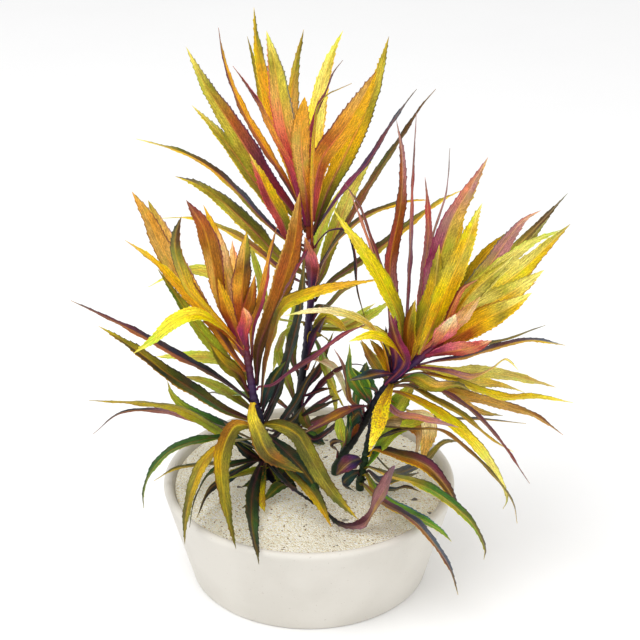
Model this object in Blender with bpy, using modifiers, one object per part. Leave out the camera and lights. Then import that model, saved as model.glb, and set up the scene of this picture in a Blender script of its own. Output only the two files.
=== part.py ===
# Potted broad-leaf Pogostemon stellatus: a clump of leafy stems planted in a low round pot of pale sand.
# Metres, +Z up. The origin is the middle of the pot's underside, and -Y is the front.

import math
from collections import namedtuple

import bmesh
import bpy
import numpy as np

MM = 0.001

# Pot and sand, in millimetres
POT_HEIGHT = 56.0
POT_RIM_RADIUS = 80.0
POT_FOOT_RADIUS = 66.0
POT_WALL = 5.0
POT_FLOOR = 6.0
POT_SIDES = 36
SAND_LEVEL = 52.0
SAND_CROWN = 2.0
SAND_RINGS = 3
POT_FOOT_BEVEL = 1.5
FIT_GAP = 0.3
SOCKET_DEPTH = 18.0
SOCKET_SIDES = 10

# Stems and leaves, in millimetres
STEM_SIDES = 8
STEM_PLACES = 61
STEM_RINGS = 12
LEAF_STEPS = 7
SMALL_LEAF_STEPS = 6
LEAF_THICKNESS = 0.8
LEAF_FOLD = 0.16
LEAF_LIFT = 0.7
PETIOLE_WIDTH = 1.5
FOOT_TAPER = 0.8
TIP_TAPER = 1.8

# A leaf leaves its stem at a foot, keeps clear of the feet beside it, and bends up at an elbow.
# A small leaf's foot sinks into the stem, and is joined to it.
FOOT_GAP = 0.7
SMALL_FOOT_SINK = 1.8
ELBOW_OUT = 1.8
ELBOW_UP = 1.0
FOOT_REACH = 3.0
FOOT_TURN = math.radians(52)
FOOT_ROUNDS = 60
NEAREST_PLACE = 4.0
CURVE_STEPS = 16
SHARP_ANGLE = math.radians(40)

# The plant is laid out as it looks from the front: a place is a column and a row of a 640 x 640
# picture seen from VIEW_DISTANCE and VIEW_ELEVATION, where one step is 0.5 mm at the pot's middle,
# together with its depth in millimetres behind the pot's middle.
PICTURE_MIDDLE = 320
PICTURE_STEP = 0.5
VIEW_DISTANCE = 850.0
VIEW_ELEVATION = 25.0
VIEW_TARGET = (6.0, 0.0, SAND_LEVEL + 109.5)

TONES = {
    "olive": "8F8A2E",
    "pale olive": "BDB545",
    "gold": "E0B030",
    "yellow": "E0D038",
    "orange": "D89A50",
    "tan": "C8A050",
    "brown": "A0601E",
    "pink": "D07868",
    "mauve": "B07A80",
    "magenta": "8A2A5A",
    "maroon": "5A2438",
    "dark green": "2A3A1E",
    "green": "5F7A28",
    "cream": "E4D8A0",
}

Stem = namedtuple("Stem", "name line foot_radius tip_radius")
# row: picture row where the leaf leaves its stem. path: picture places from there to the tip.
# away: how much deeper the tip is than the foot. show: how much of the width faces the front.
# ease: under 1 the leaf gains that depth early. widest: how far along the leaf it is widest.
Leaf = namedtuple("Leaf", "name row path away width show tone ease widest", defaults=(1.0, 0.42))

MIDDLE_STEM = Stem(
    "middle_stem",
    ((309, 226, 33), (309, 247, 34), (311, 275, 36), (311, 310, 38), (308, 345, 40), (305, 375, 41),
     (301, 400, 42), (297, 430, 43), (294, 460, 44)),
    2.3, 1.7,
)
LEFT_STEM = Stem(
    "left_stem",
    ((236, 350, -8), (243, 375, -6), (247, 398, -5), (250, 418, -4), (256, 440, -2), (260, 465, 0),
     (263, 490, 2)),
    2.3, 1.7,
)
RIGHT_STEM = Stem(
    "right_stem",
    ((448, 361, -18), (436, 370, -15), (424, 380, -12), (412, 389, -10), (400, 399, -7), (388, 411, -4),
     (377, 427, -1), (368, 444, 2), (358, 460, 4), (346, 478, 5), (336, 494, 6)),
    2.3, 1.7,
)
FRONT_STEM = Stem(
    "front_stem",
    ((378, 436, -18), (374, 450, -16), (368, 480, -13), (362, 509, -10)),
    2.0, 1.4,
)

MIDDLE_LEAVES = (
    Leaf("middle_leaf_01", 244, ((288, 222), (263, 192), (240, 156), (218, 122), (199, 92), (180, 54)),
         away=-14, width=12.0, show=0.95, tone="olive"),
    Leaf("middle_leaf_02", 248, ((286, 238), (253, 197), (230, 165), (208, 138), (186, 115)),
         away=24, width=9.5, show=0.8, tone="olive"),
    Leaf("middle_leaf_03", 234, ((283, 193), (262, 160), (244, 130), (229, 98), (218, 62), (214, 34)),
         away=10, width=9.0, show=0.5, tone="gold"),
    Leaf("middle_leaf_04", 230, ((285, 165), (272, 125), (260, 85), (253, 45), (251, 13)),
         away=-6, width=10.5, show=0.85, tone="gold"),
    Leaf("middle_leaf_05", 228, ((288, 160), (278, 110), (273, 75), (264, 37)),
         away=-24, width=11.5, show=0.95, tone="orange", widest=0.5),
    Leaf("middle_leaf_06", 228, ((291, 150), (290, 110), (294, 75), (303, 36)),
         away=18, width=10.5, show=0.75, tone="gold"),
    Leaf("middle_leaf_07", 240, ((305, 205), (301, 170), (300, 140), (304, 106)),
         away=-48, width=10.0, show=0.95, tone="pink", widest=0.62),
    Leaf("middle_leaf_08", 232, ((312, 165), (317, 125), (324, 88), (333, 60), (344, 37)),
         away=30, width=10.5, show=0.95, tone="yellow"),
    Leaf("middle_leaf_09", 236, ((320, 175), (343, 142), (362, 112), (380, 78)),
         away=-34, width=12.0, show=0.95, tone="orange", widest=0.52),
    Leaf("middle_leaf_10", 246, ((328, 205), (346, 168), (366, 125), (382, 82), (392, 43)),
         away=-4, width=11.5, show=0.95, tone="olive"),
    Leaf("middle_leaf_11", 252, ((330, 224), (349, 199), (370, 175), (391, 141), (411, 111), (421, 98)),
         away=14, width=8.0, show=0.35, tone="magenta"),
    Leaf("middle_leaf_12", 292, ((323, 278), (347, 242), (367, 207), (388, 174), (405, 149),
          (426, 116), (441, 98)),
         away=16, width=8.0, show=0.5, tone="olive"),
    Leaf("middle_leaf_13", 312, ((323, 290), (328, 270), (339, 240), (351, 210), (361, 190), (378, 165)),
         away=44, width=9.5, show=0.9, tone="pale olive"),
    Leaf("middle_leaf_14", 320, ((330, 301), (355, 284), (375, 270), (400, 251), (430, 227),
          (450, 213), (470, 203)),
         away=-4, width=9.0, show=0.6, tone="olive"),
    Leaf("middle_leaf_15", 270, ((280, 252), (256, 230), (235, 207), (206, 181), (178, 165),
          (150, 156), (128, 150)),
         away=4, width=8.0, show=0.55, tone="olive"),
    Leaf("middle_leaf_16", 294, ((279, 276), (256, 252), (236, 232), (213, 212), (190, 197), (168, 189)),
         away=-16, width=10.5, show=0.8, tone="olive"),
    Leaf("middle_leaf_17", 262, ((290, 257), (280, 235), (268, 212), (258, 190), (246, 165)),
         away=-42, width=9.5, show=0.9, tone="pink"),
    Leaf("middle_leaf_18", 304, ((298, 299), (280, 288), (258, 270), (235, 253), (210, 241),
          (180, 233), (153, 233)),
         away=34, width=9.0, show=0.45, tone="yellow"),
)

LEFT_LEAVES = (
    Leaf("left_leaf_01", 392, ((225, 370), (202, 335), (173, 295), (150, 256), (139, 232), (123, 205)),
         away=0, width=9.5, show=0.9, tone="brown", widest=0.6),
    Leaf("left_leaf_02", 378, ((222, 360), (172, 285), (160, 258), (149, 235), (140, 214)),
         away=30, width=9.0, show=0.9, tone="orange", ease=0.6, widest=0.6),
    Leaf("left_leaf_03", 362, ((215, 342), (185, 310), (176, 290), (169, 268), (169, 250), (175, 231)),
         away=-30, width=8.0, show=0.65, tone="gold", widest=0.5),
    Leaf("left_leaf_04", 372, ((224, 355), (200, 335), (170, 303), (145, 277), (116, 256)),
         away=-8, width=8.5, show=0.6, tone="gold"),
    Leaf("left_leaf_05", 420, ((226, 388), (198, 355), (174, 322), (150, 286)),
         away=10, width=8.5, show=0.75, tone="pale olive"),
    Leaf("left_leaf_06", 366, ((215, 346), (190, 334), (168, 341), (146, 360), (124, 375)),
         away=-52, width=8.5, show=0.8, tone="yellow"),
    Leaf("left_leaf_07", 358, ((215, 320), (208, 280), (198, 243), (180, 214)),
         away=-14, width=10.0, show=0.8, tone="tan", widest=0.6),
    Leaf("left_leaf_08", 358, ((238, 320), (240, 280), (243, 247)),
         away=-34, width=10.5, show=0.8, tone="brown", widest=0.5),
    Leaf("left_leaf_09", 408, ((256, 370), (265, 345), (275, 320), (285, 290), (293, 260), (299, 205)),
         away=4, width=10.5, show=0.9, tone="brown", widest=0.55),
    Leaf("left_leaf_10", 430, ((263, 385), (272, 350), (282, 325), (310, 312), (345, 303), (380, 298)),
         away=-38, width=8.5, show=0.7, tone="gold"),
    Leaf("left_leaf_11", 446, ((272, 420), (283, 390), (292, 360), (299, 330), (303, 290), (304, 255)),
         away=24, width=8.0, show=0.55, tone="dark green"),
    Leaf("left_leaf_12", 424, ((210, 398), (170, 377), (135, 357), (100, 339), (59, 319)),
         away=2, width=9.0, show=0.45, tone="maroon"),
    Leaf("left_leaf_13", 448, ((220, 434), (190, 415), (160, 396), (130, 373), (100, 353), (88, 346)),
         away=-20, width=9.5, show=0.65, tone="dark green"),
    Leaf("left_leaf_14", 424, ((249, 440), (255, 457), (266, 480), (285, 492), (303, 500)),
         away=-42, width=9.0, show=0.95, tone="yellow"),
    Leaf("left_leaf_15", 452, ((230, 452), (217, 480), (216, 500), (220, 530), (226, 557), (232, 580)),
         away=-80, width=9.0, show=0.8, tone="brown", ease=0.8),
    Leaf("left_leaf_16", 450, ((278, 450), (297, 460), (309, 480), (320, 500), (336, 523), (360, 549)),
         away=-58, width=9.5, show=0.85, tone="olive", ease=0.8),
    Leaf("left_leaf_17", 476, ((225, 464), (190, 467), (162, 478), (143, 499), (135, 520), (135, 537)),
         away=-44, width=9.0, show=0.5, tone="green"),
    Leaf("left_leaf_18", 466, ((240, 465), (216, 473), (198, 490), (186, 518), (179, 550), (178, 575)),
         away=-74, width=8.0, show=0.65, tone="pale olive", ease=0.8),
)

RIGHT_LEAVES = (
    Leaf("right_leaf_01", 366, ((455, 348), (462, 333)),
         away=-66, width=9.0, show=0.9, tone="pink", ease=0.8),
    Leaf("right_leaf_02", 373, ((445, 374), (465, 371), (485, 367), (500, 361)),
         away=-46, width=8.5, show=0.75, tone="magenta"),
    Leaf("right_leaf_03", 383, ((440, 383), (475, 378), (500, 370), (540, 361), (577, 366)),
         away=-24, width=7.5, show=0.35, tone="olive"),
    Leaf("right_leaf_04", 364, ((485, 343), (521, 325), (542, 311)),
         away=-27, width=12.0, show=0.95, tone="orange"),
    Leaf("right_leaf_05", 366, ((455, 355), (490, 328), (525, 308), (555, 287)),
         away=-5, width=12.0, show=0.95, tone="yellow"),
    Leaf("right_leaf_06", 370, ((465, 344), (499, 313), (533, 286), (559, 261), (582, 239)),
         away=6, width=11.5, show=0.9, tone="yellow"),
    Leaf("right_leaf_07", 373, ((465, 332), (507, 283), (541, 248), (560, 228), (579, 207)),
         away=24, width=8.0, show=0.6, tone="olive"),
    Leaf("right_leaf_08", 368, ((446, 350), (470, 318), (497, 283), (519, 251), (534, 234), (551, 225)),
         away=8, width=11.0, show=0.8, tone="mauve", ease=0.8),
    Leaf("right_leaf_09", 375, ((452, 310), (473, 260), (484, 230), (490, 217)),
         away=-38, width=11.0, show=0.9, tone="yellow"),
    Leaf("right_leaf_10", 378, ((432, 340), (443, 285), (458, 235), (475, 205), (496, 169)),
         away=4, width=12.0, show=0.95, tone="mauve"),
    Leaf("right_leaf_11", 398, ((400, 345), (393, 285), (404, 220), (406, 170), (400, 130)),
         away=16, width=8.0, show=0.7, tone="mauve"),
    Leaf("right_leaf_12", 394, ((404, 345), (388, 305), (368, 272), (345, 240), (334, 224)),
         away=-22, width=9.5, show=0.75, tone="yellow"),
    Leaf("right_leaf_13", 396, ((425, 396), (455, 401), (485, 413), (515, 421), (545, 420), (585, 426)),
         away=-8, width=8.0, show=0.45, tone="yellow"),
    Leaf("right_leaf_14", 402, ((415, 404), (445, 413), (475, 432), (505, 462), (540, 511)),
         away=-24, width=7.5, show=0.25, tone="maroon"),
    Leaf("right_leaf_15", 412, ((400, 415), (430, 428), (460, 449), (482, 470), (505, 500),
          (516, 528), (512, 538)),
         away=-44, width=8.5, show=0.65, tone="yellow"),
    Leaf("right_leaf_16", 404, ((386, 430), (380, 455), (371, 478)),
         away=-40, width=9.0, show=0.95, tone="yellow"),
)

FRONT_LEAVES = (
    Leaf("front_leaf_01", 492, ((395, 503), (425, 512), (455, 530), (480, 554), (493, 580), (492, 591)),
         away=-72, width=8.0, show=0.6, tone="green", ease=0.8),
    Leaf("front_leaf_02", 510, ((385, 530), (420, 552), (440, 575), (457, 602), (465, 628)),
         away=-88, width=8.0, show=0.5, tone="maroon", ease=0.6),
)

# Small leaves are part of the stem that they grow from.
MIDDLE_SMALL = (
    Leaf("behind_04", 243, ((290, 180), (262, 115), (252, 75), (244, 43)), 20, 7.5, 0.8, "olive"),
    Leaf("left_of_04", 240, ((288, 178), (272, 148), (257, 116), (242, 92), (229, 74)),
         -34, 7.0, 0.5, "mauve"),
    Leaf("thin_up", 236, ((309, 145), (316, 120), (326, 100), (333, 82), (344, 68)),
         -12, 6.0, 0.4, "magenta"),
    Leaf("hooked", 254, ((318, 118), (328, 104), (340, 98), (353, 92)), -46, 5.0, 0.4, "gold"),
    Leaf("right_rise", 302, ((320, 288), (335, 261), (350, 245), (368, 231), (392, 221),
          (415, 215), (436, 214)),
         -20, 7.0, 0.4, "gold"),
    Leaf("front_hang", 254, ((308, 262), (297, 285), (286, 305), (274, 328)),
         -90, 6.0, 0.35, "magenta", 0.7),
    Leaf("front_rise", 310, ((311, 280), (304, 252)), -44, 8.0, 0.9, "pink"),
    Leaf("right_droop", 390, ((312, 381), (332, 388), (342, 403), (349, 425)), -24, 7.0, 0.6, "cream"),
    Leaf("right_arch", 430, ((315, 415), (335, 395), (355, 386), (380, 391)), -30, 6.5, 0.5, "maroon"),
    Leaf("right_low", 440, ((320, 431), (342, 422)), -34, 6.0, 0.4, "dark green"),
    Leaf("right_hang", 360, ((318, 365), (330, 400), (346, 433)), -14, 7.0, 0.6, "pale olive"),
    Leaf("back_left", 345, ((268, 335), (255, 290), (243, 248)), 40, 7.0, 0.7, "pale olive"),
    Leaf("back_low", 345, ((284, 350), (270, 395)), 30, 7.0, 0.6, "pale olive"),
    Leaf("back_right", 350, ((340, 345), (378, 322)), 40, 7.0, 0.6, "pale olive"),
    Leaf("right_dark", 420, ((308, 418), (320, 414), (332, 411)), -22, 5.5, 0.45, "dark green"),
    Leaf("right_stub", 375, ((312, 362), (319, 347), (327, 334)), -16, 7.0, 0.7, "magenta"),
    Leaf("high_pale", 282, ((316, 265), (323, 240), (333, 220), (345, 198)), 34, 8.0, 0.8, "pale olive"),
    Leaf("long_hang", 262, ((330, 246), (349, 246), (357, 272), (359, 305), (368, 342)),
         -24, 5.0, 0.4, "maroon"),
)

LEFT_SMALL = (
    Leaf("inner_left", 366, ((222, 300), (212, 255), (198, 219)), 8, 9.0, 0.9, "gold"),
    Leaf("inner_back", 372, ((232, 300), (228, 256)), 34, 9.0, 0.9, "tan"),
    Leaf("inner_right", 384, ((250, 345), (257, 325), (263, 300), (267, 275), (275, 241)),
         14, 6.5, 0.6, "orange"),
    Leaf("to_right", 414, ((270, 408), (288, 395), (315, 378), (345, 355), (371, 343)),
         2, 6.0, 0.4, "magenta"),
    Leaf("long_low", 486, ((228, 465), (190, 441), (165, 430), (130, 426), (78, 424)),
         -22, 8.5, 0.5, "olive"),
    Leaf("thin_low", 470, ((225, 455), (190, 446), (155, 436), (112, 437), (82, 459)),
         6, 6.0, 0.4, "maroon"),
    Leaf("short_low", 478, ((232, 465), (205, 447), (180, 433), (165, 418), (160, 403)),
         26, 8.0, 0.8, "dark green"),
    Leaf("back_stub", 424, ((220, 416), (200, 416)), 40, 6.0, 0.5, "green"),
    Leaf("back_thin", 453, ((232, 453), (197, 435)), 40, 5.0, 0.4, "dark green"),
    Leaf("back_pale", 404, ((236, 390), (200, 379), (148, 378)), 36, 7.0, 0.8, "pale olive"),
    Leaf("low_thin", 486, ((215, 495), (202, 503), (188, 530), (183, 557)), -62, 6.0, 0.4, "dark green"),
    Leaf("low_short", 486, ((222, 505), (203, 518), (191, 547)), -44, 7.0, 0.6, "green"),
    Leaf("low_side", 486, ((222, 490), (192, 492), (168, 496), (146, 508)), -14, 6.0, 0.35, "green"),
    Leaf("front_stub", 486, ((256, 510), (262, 541)), -42, 7.5, 0.8, "green"),
    Leaf("front_long", 486, ((250, 515), (248, 550), (256, 596)), -95, 9.0, 0.7, "dark green"),
    Leaf("folded", 488, ((290, 515), (325, 540), (338, 552), (350, 556), (367, 552), (380, 530),
          (391, 512), (399, 492)),
         -60, 10.0, 0.92, "mauve", 0.25, 0.76),
    Leaf("back_arch", 354, ((222, 302), (200, 289), (178, 288), (158, 296), (140, 305)),
         46, 7.0, 0.8, "pale olive"),
    Leaf("front_right", 478, ((290, 497), (305, 512), (318, 530), (332, 557)),
         -66, 8.5, 0.8, "dark green"),
    Leaf("inner_long", 459, ((272, 456), (284, 441), (296, 424), (306, 404), (319, 385)),
         22, 6.5, 0.6, "dark green"),
    Leaf("inner_green", 438, ((264, 420), (272, 400), (284, 383)), 8, 7.5, 0.7, "dark green"),
    Leaf("inner_low", 460, ((278, 472), (297, 491), (312, 511), (322, 528)), -40, 9.5, 0.8, "dark green"),
)

RIGHT_SMALL = (
    Leaf("pink_up", 362, ((460, 347), (475, 330), (488, 315)), -42, 8.0, 0.8, "pink"),
    Leaf("side_thin", 377, ((480, 368), (520, 359), (540, 351), (556, 345)), 8, 6.0, 0.3, "olive"),
    Leaf("fan_green", 366, ((472, 319), (507, 284), (541, 258), (573, 245)),
         -16, 10.0, 0.8, "pale olive", 0.8),
    Leaf("fan_back", 376, ((474, 305), (532, 262), (561, 231)), 50, 10.0, 0.8, "olive", 0.7),
    Leaf("fan_inner", 375, ((445, 340), (472, 302), (503, 261), (533, 243)), 20, 9.6, 0.9, "olive", 0.8),
    Leaf("dark_red", 376, ((448, 350), (459, 325), (470, 306), (486, 297)), -22, 6.0, 0.7, "pink"),
    Leaf("upright", 386, ((422, 355), (438, 315), (445, 260)), -12, 10.0, 0.95, "olive"),
    Leaf("upright_back", 380, ((438, 340), (455, 290), (470, 235)), 12, 10.0, 0.9, "olive"),
    Leaf("thin_back", 382, ((428, 310), (438, 250), (452, 205), (456, 160)), 28, 6.0, 0.25, "mauve"),
    Leaf("thin_inner", 384, ((425, 320), (433, 250), (432, 215), (430, 190)), 10, 7.0, 0.6, "mauve"),
    Leaf("thin_tall", 391, ((410, 340), (414, 260), (416, 200), (421, 123)), 0, 6.5, 0.3, "mauve"),
    Leaf("left_thin", 401, ((395, 320), (373, 264), (360, 228), (350, 202)), 22, 6.0, 0.35, "mauve"),
    Leaf("left_maroon", 403, ((393, 350), (388, 300), (373, 255), (362, 222), (345, 195)),
         4, 6.0, 0.25, "maroon"),
    Leaf("left_purple", 406, ((408, 385), (400, 360), (392, 330)), -30, 7.0, 0.7, "magenta"),
    Leaf("left_arch", 402, ((385, 365), (368, 343), (345, 333), (315, 330), (283, 335)),
         -36, 6.5, 0.45, "cream"),
    Leaf("left_bow", 390, ((395, 365), (375, 356), (350, 362)), -38, 6.5, 0.5, "yellow"),
    Leaf("left_olive", 408, ((372, 375), (362, 362)), 26, 7.0, 0.7, "olive"),
    Leaf("left_low", 432, ((355, 432), (330, 444), (300, 460)), -20, 7.5, 0.6, "maroon"),
    Leaf("left_green", 430, ((358, 410), (350, 395), (351, 365)), -10, 7.0, 0.7, "green"),
    Leaf("left_dark", 446, ((357, 425), (368, 392)), 18, 6.5, 0.6, "dark green"),
    Leaf("left_foot", 472, ((345, 465), (352, 440)), -14, 6.5, 0.6, "green"),
    Leaf("side_yellow", 392, ((430, 390), (456, 395), (500, 396), (540, 403), (567, 410)),
         14, 10.0, 0.6, "yellow"),
    Leaf("side_curl", 386, ((455, 394), (478, 400), (500, 391), (515, 381), (528, 392)),
         -26, 6.0, 0.4, "mauve"),
    Leaf("side_broad", 402, ((420, 400), (440, 410), (465, 408), (478, 414)), -36, 8.0, 0.8, "olive"),
    Leaf("side_tan", 408, ((440, 411), (475, 420), (510, 429), (545, 440), (575, 460)),
         6, 8.5, 0.55, "tan"),
    Leaf("side_low", 420, ((415, 436), (450, 443), (490, 444), (536, 448)), 4, 6.0, 0.3, "maroon"),
    Leaf("side_drop", 408, ((410, 408), (440, 423), (470, 440), (500, 465), (523, 478)),
         -12, 7.0, 0.45, "olive"),
    Leaf("side_mauve", 420, ((400, 437), (425, 443), (465, 452)), -40, 7.0, 0.45, "mauve"),
    Leaf("inner_stalk", 439, ((352, 425), (347, 400), (343, 385), (335, 370)), 12, 5.0, 0.5, "maroon"),
)

FRONT_SMALL = (
    Leaf("side_hang", 452, ((420, 454), (445, 455), (477, 478), (508, 510), (523, 533), (527, 553)),
         -40, 6.0, 0.25, "maroon"),
    Leaf("back_hang", 452, ((425, 440), (433, 452), (427, 488)), 12, 10.0, 0.9, "tan"),
    Leaf("side_grey", 480, ((400, 500), (430, 487), (450, 468), (470, 467)), 20, 7.5, 0.5, "pale olive"),
    Leaf("side_dark", 470, ((383, 463), (410, 455), (425, 454)), -20, 6.0, 0.35, "dark green"),
    Leaf("side_green", 490, ((372, 492), (385, 470), (400, 455), (432, 445)), -8, 8.0, 0.7, "green"),
    Leaf("low_brown", 480, ((376, 475), (405, 482), (431, 492), (448, 509), (468, 540)),
         -36, 8.5, 0.75, "maroon"),
    Leaf("low_green", 500, ((378, 518), (392, 532), (420, 546), (445, 560), (458, 572)),
         -58, 8.0, 0.65, "green", 1.1),
    Leaf("low_short", 506, ((380, 515), (397, 518), (410, 515), (426, 520)),
         -12, 6.0, 0.35, "dark green"),
    Leaf("inner_purple", 486, ((352, 489), (337, 502)), -12, 9.0, 0.9, "maroon"),
)


def view_directions():
    """The directions ahead and up in the picture."""
    tilt = math.radians(VIEW_ELEVATION)
    return np.array([0.0, math.cos(tilt), -math.sin(tilt)]), np.array([0.0, math.sin(tilt), math.cos(tilt)])


def eye_point():
    return np.array(VIEW_TARGET) - VIEW_DISTANCE * view_directions()[0]


def sight_point(column, row, depth):
    """The place, in millimetres, that shows at this column and row and lies at this depth."""
    ahead, upward = view_directions()
    eye = eye_point()
    scale = PICTURE_STEP / VIEW_DISTANCE
    ray = ahead + upward * (PICTURE_MIDDLE - row) * scale
    ray[0] += (column - PICTURE_MIDDLE) * scale
    return eye + ray * (depth - eye[1]) / ray[1]


def picture_place(point):
    """The column and row at which a place shows."""
    ahead, upward = view_directions()
    offset = point - eye_point()
    scale = VIEW_DISTANCE / PICTURE_STEP / (offset @ ahead)
    return PICTURE_MIDDLE + offset[0] * scale, PICTURE_MIDDLE - (offset @ upward) * scale


def unit(vector):
    return vector / max(np.linalg.norm(vector), 1e-9)


def spread(points, count):
    """Evenly spaced places along the smooth curve through these points."""
    points = np.asarray(points, float)
    legs = np.diff(points, axis=0)
    gaps = np.sqrt(np.linalg.norm(legs, axis=1))[:, None]
    slopes = legs / gaps
    inner = (slopes[:-1] * gaps[1:] + slopes[1:] * gaps[:-1]) / (gaps[1:] + gaps[:-1])
    turns = np.vstack([slopes[:1], inner, slopes[-1:]])
    t = np.linspace(0, 1, CURVE_STEPS)[:, None]
    fine = [
        (2 * t ** 3 - 3 * t ** 2 + 1) * start + (3 * t ** 2 - 2 * t ** 3) * end
        + ((t ** 3 - 2 * t ** 2 + t) * leaving + (t ** 3 - t ** 2) * arriving) * gap
        for start, end, leaving, arriving, gap in zip(points, points[1:], turns, turns[1:], gaps)
    ]
    fine = np.vstack([fine[0], *[leg[1:] for leg in fine[1:]]])
    run = np.concatenate([[0], np.cumsum(np.linalg.norm(np.diff(fine, axis=0), axis=1))])
    wanted = np.linspace(0, run[-1], count)
    return np.column_stack([np.interp(wanted, run, fine[:, axis]) for axis in range(3)])


def tangents(points):
    return np.array([unit(step) for step in np.gradient(points, axis=0)])


def carried_sides(points, first_side):
    """A side direction at each point, carried along the curve without twisting."""
    along = tangents(points)
    sides = [unit(first_side - along[0] * (first_side @ along[0]))]
    for direction in along[1:]:
        sides.append(unit(sides[-1] - direction * (sides[-1] @ direction)))
    return along, np.array(sides)


def stem_axis(stem):
    """Places along the stem, from its foot to its tip."""
    return spread([sight_point(*place) for place in stem.line[::-1]], STEM_PLACES)


def stem_place(stem, row):
    """The stem's centre, direction and radius where it shows at this row, and the distance up the stem."""
    axis = stem_axis(stem)
    index = int(np.argmin([abs(picture_place(point)[1] - row) for point in axis]))
    part = index / (STEM_PLACES - 1)
    radius = stem.foot_radius + (stem.tip_radius - stem.foot_radius) * part
    length = np.linalg.norm(np.diff(axis, axis=0), axis=1).sum()
    return axis[index], tangents(axis)[index], radius, part * length


def route(stem, leaf):
    """The places on the leaf's midline after its foot."""
    centre = stem_place(stem, leaf.row)[0]
    places = np.array([(picture_place(centre)[0], leaf.row), *leaf.path], float)
    legs = np.linalg.norm(np.diff(places, axis=0), axis=1)
    parts = np.cumsum(legs) / legs.sum()
    return [
        sight_point(column, row, centre[1] + leaf.away * part ** leaf.ease)
        for (column, row), part in zip(leaf.path, parts)
    ]


def around(upright):
    """Two directions across the stem, from which turns around it are measured."""
    across = unit(np.array([1.0, 0.0, 0.0]) - upright * upright[0])
    return across, np.cross(upright, across)


def foot_turns(stem, leaves):
    """The turn around the stem at which each leaf leaves: towards its route, but clear of its neighbours."""
    heights = []
    turns = []
    for leaf in leaves:
        centre, upright, _, height = stem_place(stem, leaf.row)
        across, other = around(upright)
        towards = route(stem, leaf)[0] - centre
        heights.append(height)
        turns.append(math.atan2(towards @ other, towards @ across))
    for _ in range(FOOT_ROUNDS):
        for one in range(len(leaves)):
            for two in range(one):
                closeness = 1 - ((heights[one] - heights[two]) / FOOT_REACH) ** 2
                if closeness <= 0:
                    continue
                apart = math.remainder(turns[one] - turns[two], 2 * math.pi)
                short = FOOT_TURN * math.sqrt(closeness) - abs(apart)
                if short > 0:
                    push = math.copysign(short / 2, apart)
                    turns[one] += push
                    turns[two] -= push
    return dict(zip([leaf.name for leaf in leaves], turns))


def leaf_path(stem, leaf, turn, steps):
    """The leaf's midline from the stem's skin to its tip, and the direction in which it leaves the stem."""
    centre, upright, radius, _ = stem_place(stem, leaf.row)
    across, other = around(upright)
    outward = across * math.cos(turn) + other * math.sin(turn)
    foot = centre + outward * (radius + FOOT_GAP)
    elbow = foot + outward * ELBOW_OUT + upright * ELBOW_UP
    points = [point for point in route(stem, leaf) if np.linalg.norm(point - elbow) > NEAREST_PLACE]
    return spread([foot, elbow, *points], steps + 1), outward


def blade_width(part, leaf):
    """Narrow at the foot, widest a little below the middle and drawn out to the tip."""
    if part < leaf.widest:
        full = (part / leaf.widest) ** FOOT_TAPER
    else:
        full = 1 - ((part - leaf.widest) / (1 - leaf.widest)) ** TIP_TAPER
    return max(PETIOLE_WIDTH * (1 - part), leaf.width * full)


def blade_sides(points, outward, show):
    """Side and upper-face directions of a blade that shows this much of its width to the front."""
    middle = len(points) // 2
    along = tangents(points)[middle]
    sight = unit(points[middle] - eye_point())
    flat = unit(np.cross(sight, along))
    edge = np.cross(along, flat)
    inward = np.array([0.0, 0.0, LEAF_LIFT]) - outward
    lean = math.acos(show)
    choices = [flat * math.cos(turn) + edge * math.sin(turn) for turn in (lean, -lean)]
    side = max(choices, key=lambda choice: abs(np.cross(choice, along) @ inward))
    if np.cross(side, along) @ inward < 0:
        side = -side
    back_along, back_sides = carried_sides(points[middle::-1], side)
    front_along, front_sides = carried_sides(points[middle:], side)
    sides = np.vstack([back_sides[::-1], front_sides[1:]])
    directions = tangents(points)
    return sides, np.cross(sides, directions)


def blade_sections(stem, leaf, turn, steps, sink=0.0):
    """Four-sided sections of the leaf, from foot to tip: two edges, and both sides of the midrib."""
    points, outward = leaf_path(stem, leaf, turn, steps)
    sides, uppers = blade_sides(points, outward, leaf.show)
    sections = []
    for index, (point, side, upper) in enumerate(zip(points, sides, uppers)):
        part = index / steps
        half = blade_width(part, leaf) / 2
        thick = upper * LEAF_THICKNESS * (1 - 0.5 * part) / 2
        edge = point + upper * half * LEAF_FOLD
        sections.append(np.array([edge - side * half, point - thick, edge + side * half, point + thick]) * MM)
    sections[0] -= outward * sink * MM
    return sections


def lay(face, section):
    """Moves a face's corners onto a section, turned to fit them best."""
    face.normal_update()
    corners = np.array([vert.co for vert in face.verts])
    spokes = section - section.mean(axis=0)
    winding = np.cross(spokes, np.roll(spokes, -1, axis=0)).sum(axis=0)
    if winding @ np.array(face.normal) < 0:
        section = section[::-1]
    offset = corners.mean(axis=0) - section.mean(axis=0)
    choices = [np.roll(section, shift, axis=0) for shift in range(len(section))]
    best = min(choices, key=lambda choice: ((choice + offset - corners) ** 2).sum())
    for vert, spot in zip(face.verts, best):
        vert.co = spot


def start_on(bm, section):
    """A new face on the section."""
    ring = bmesh.ops.create_circle(bm, cap_ends=True, radius=MM, segments=len(section))["verts"]
    face = ring[0].link_faces[0]
    lay(face, section)
    return face


def grow(bm, face, sections):
    """Extrudes a face from section to section."""
    for section in sections:
        face = bmesh.ops.extrude_discrete_faces(bm, faces=[face])["faces"][0]
        lay(face, section)
    return face


def add_blade(bm, sections):
    """A closed blade that ends in a point."""
    tip = grow(bm, start_on(bm, sections[0]), sections[1:])
    bmesh.ops.pointmerge(bm, verts=tip.verts[:], merge_co=tip.calc_center_median())


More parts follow.
